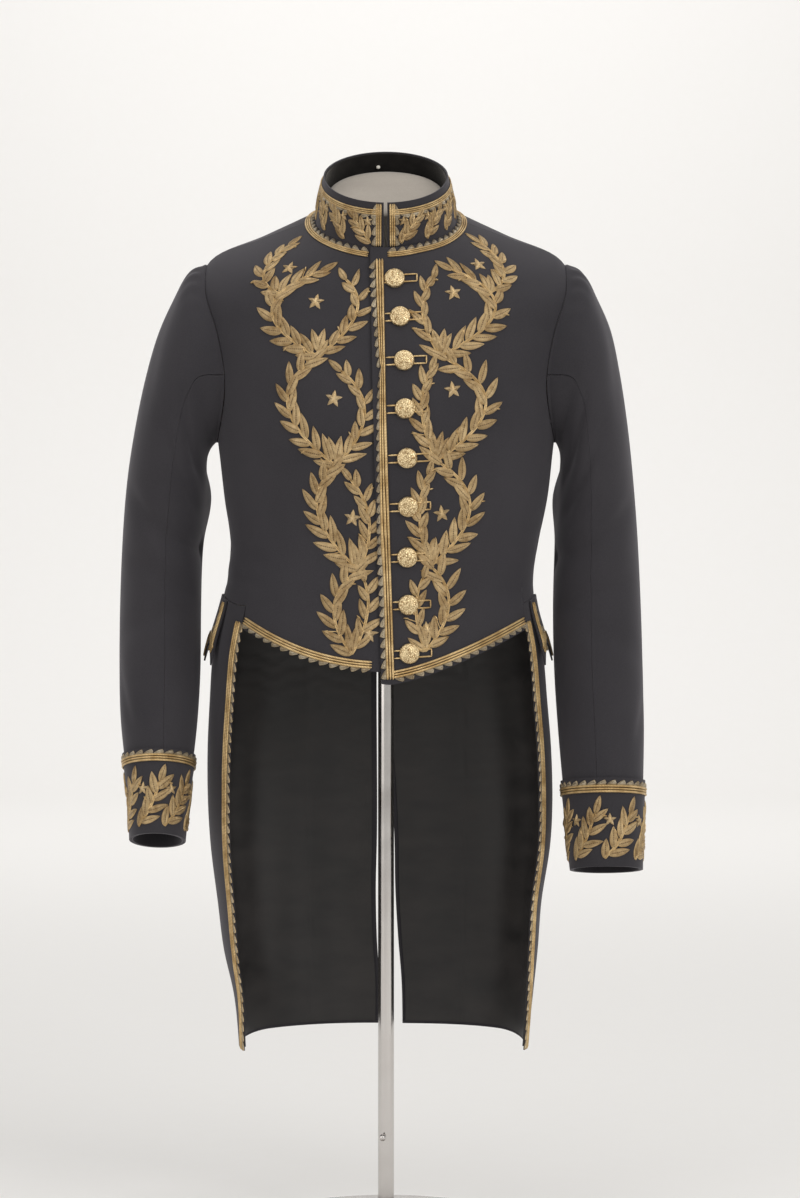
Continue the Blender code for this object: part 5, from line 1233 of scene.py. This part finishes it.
def buildFormAndStand():
    turns = np.arange(96) * tau / 96
    gaps = np.array(((0.0, 0.0036), (0.20, 0.0040), (0.30, 0.0060), (0.45, 0.0100), (0.53, 0.0110)))
    centre = bodySurface(np.array((0.0, math.pi)), np.zeros(2)).mean(axis=0)
    neckline = bodySurface(turns, np.zeros(len(turns)))
    axis = np.array((0.0, -0.46, 0.888))
    rows = [centre + (neckline - centre) * (half / 0.0790) + axis * rise
            for rise, half in ((0.030, 0.0600), (0.0298, 0.0640), (0.020, 0.0645), (0.0, 0.0680))]
    for ring in np.linspace(0.045, 0.490, 34):
        gap = np.interp(ring, gaps[:, 0], gaps[:, 1])
        rows.append(placed(bodySurface, turns, np.full(len(turns), ring), -gap))
    low = placed(bodySurface, turns, np.full(len(turns), downAt(np.array(0.712))), -0.012)
    foot = low * np.array((0.93, 0.93, 1.0))
    foot[:, 2] = 0.700
    rows += [low, foot, foot * np.array((0.9, 0.9, 1.0))]
    rings = np.array(rows)
    gather = Gather()
    poles = np.array((centre + axis * 0.030, (0.0, 0.0, 0.700)))
    gather.addRings(rings[None], poles[None], np.linspace(0, 0.5, len(rings))[None])
    gather.piece("form_body", finishes["jersey"], "form_cover", ["dress_form"])
    gather = Gather()
    cap = [centre + (neckline - centre) * (half / 0.0790) + axis * rise
           for rise, half in ((0.0338, 0.0300), (0.0336, 0.0560), (0.0328, 0.0620),
                              (0.0312, 0.0640), (0.0303, 0.0640))]
    poles = np.array((centre + axis * 0.0338, centre + axis * 0.0303))
    gather.addRings(np.array(cap)[None], poles[None], np.linspace(0, 0.1, 5)[None])
    gather.piece("form_neck_cap", finishes["jersey"], "form_cover", ["neck_cap"])
    for node, profile, place, aim in (
        ("stand_base", ((0, 0.012), (0.147, 0.012), (0.150, 0.009), (0.150, 0.001), (0.149, 0), (0, 0)),
         (0, 0, 0), None),
        ("pole_socket", ((0, 0.030), (0.021, 0.030), (0.021, 0.006), (0.015, 0), (0, 0)), (0, 0, 0.6697), None),
        ("pole", ((0, 0.6571), (0.009, 0.6571), (0.009, 0.0), (0, 0)), (0, 0, 0.0123), None),
        ("pole_knob", ((0, 0.009), (0.0026, 0.0082), (0.0040, 0.0058), (0.0040, 0.0040), (0.0024, 0.0030),
                       (0.0020, 0), (0, 0)), (-0.00260, -0.00893, 0.110), (-0.28, -0.96, 0.0)),
    ):
        gather = Gather()
        turnedForm(gather, crisp(profile, 0.0004), 72 if node != "pole_knob" else 24, np.array(place), aim)
        gather.piece(node + "_steel", finishes["steel"], "polished_steel", [node], math.radians(40))
    gather = Gather()
    seat = placed(collarSurface, np.array(math.pi + 0.13), np.array(0.34), -0.0036)
    turnedForm(gather, ((0, 0.0026), (0.0012, 0.0024), (0.0021, 0.0017), (0.0024, 0.0008),
                        (0.0016, 0.0002), (0, 0)),
               20, seat, (0.0, -0.9, 0.3))
    gather.piece("collar_stud", finishes["pearl"], "form_cover")


buildFormAndStand()
print("form and stand")

# Floor, light and camera

studio = {"paper": 0.86, "key": 46.0, "fill": 22.0, "top": 26.0, "wash": 150.0, "world": 0.62,
          "wall": 9.0, "bend": 2.0, "reach": 12.0, "eye": (0.0158, -3.2, 0.716), "sensor": 36.0, "lens": 85.1}


# The backdrop: a floor that bends up through a quarter circle into a wall
def buildStudio():
    turn = np.linspace(0, math.pi / 2, 24)
    bend, wall, reach = studio["bend"], studio["wall"], studio["reach"]
    y = np.concatenate(((-reach, 0.0), wall - bend + bend * np.sin(turn), (wall, wall)))
    z = np.concatenate(((0.0, 0.0), bend - bend * np.cos(turn), (bend + 1.0, reach))) - 0.0002
    x = np.linspace(-reach, reach, 9)
    grid = np.stack((np.broadcast_to(x, (len(y), len(x))), np.broadcast_to(y[:, None], (len(y), len(x))),
                     np.broadcast_to(z[:, None], (len(y), len(x)))), axis=-1)
    rows, columns = grid.shape[:2]
    row, column = gridPlaces(rows - 1, columns - 1)
    faces = np.stack((row * columns + column, row * columns + column + 1, (row + 1) * columns + column + 1,
                      (row + 1) * columns + column), axis=-1)
    mesh = bpy.data.meshes.new("backdrop")
    mesh.from_pydata(grid.reshape(-1, 3).tolist(), [], faces.tolist())
    mesh.shade_smooth()
    paper = Finish("pale backdrop paper", Roughness=0.9, Specular_IOR_Level=0.1)
    grain = paper.noise(30.0, 3.0)
    tone = studio["paper"]
    paper.feed("Base Color", paper.blend(grain, rgb(tone, tone * 0.985, tone * 0.965),
                                         rgb(tone * 1.01, tone, tone * 0.985)))
    mesh.materials.append(paper.material)
    backdrop = bpy.data.objects.new("backdrop", mesh)
    bpy.context.scene.collection.objects.link(backdrop)
    for name, power, size, place, colour in (
        ("key_light", studio["key"], 1.8, (2.4, -2.6, 2.2), (1.0, 0.985, 0.96)),
        ("fill_light", studio["fill"], 2.2, (-2.6, -2.4, 1.5), (1.0, 0.96, 0.92)),
        ("top_light", studio["top"], 2.4, (0.0, -0.6, 3.4), (1.0, 1.0, 1.0)),
        ("wall_light", studio["wash"], 4.0, (0.0, 4.6, 5.5), (1.0, 1.0, 1.0)),
    ):
        light = bpy.data.lights.new(name, "AREA")
        light.energy, light.size, light.color = power, size, colour
        lamp = bpy.data.objects.new(name, light)
        lamp.location = place
        aim = Vector((0, studio["wall"], 1.6)) if name == "wall_light" else Vector((0, 0, 0.75))
        lamp.rotation_euler = (aim - Vector(place)).to_track_quat("-Z", "Y").to_euler()
        bpy.context.scene.collection.objects.link(lamp)
    world = bpy.data.worlds.new("studio")
    world.use_nodes = True
    world.node_tree.nodes["Background"].inputs["Color"].default_value = rgb(1.0, 0.99, 0.975)
    world.node_tree.nodes["Background"].inputs["Strength"].default_value = studio["world"]
    bpy.context.scene.world = world
    bpy.context.scene.view_settings.view_transform = "Standard"
    camera = bpy.data.cameras.new("camera")
    camera.sensor_width, camera.lens = studio["sensor"], studio["lens"]
    eye = bpy.data.objects.new("camera", camera)
    eye.location, eye.rotation_euler = studio["eye"], (math.pi / 2, 0, 0)
    bpy.context.scene.collection.objects.link(eye)
    bpy.context.scene.camera = eye


buildStudio()
print("studio ready")
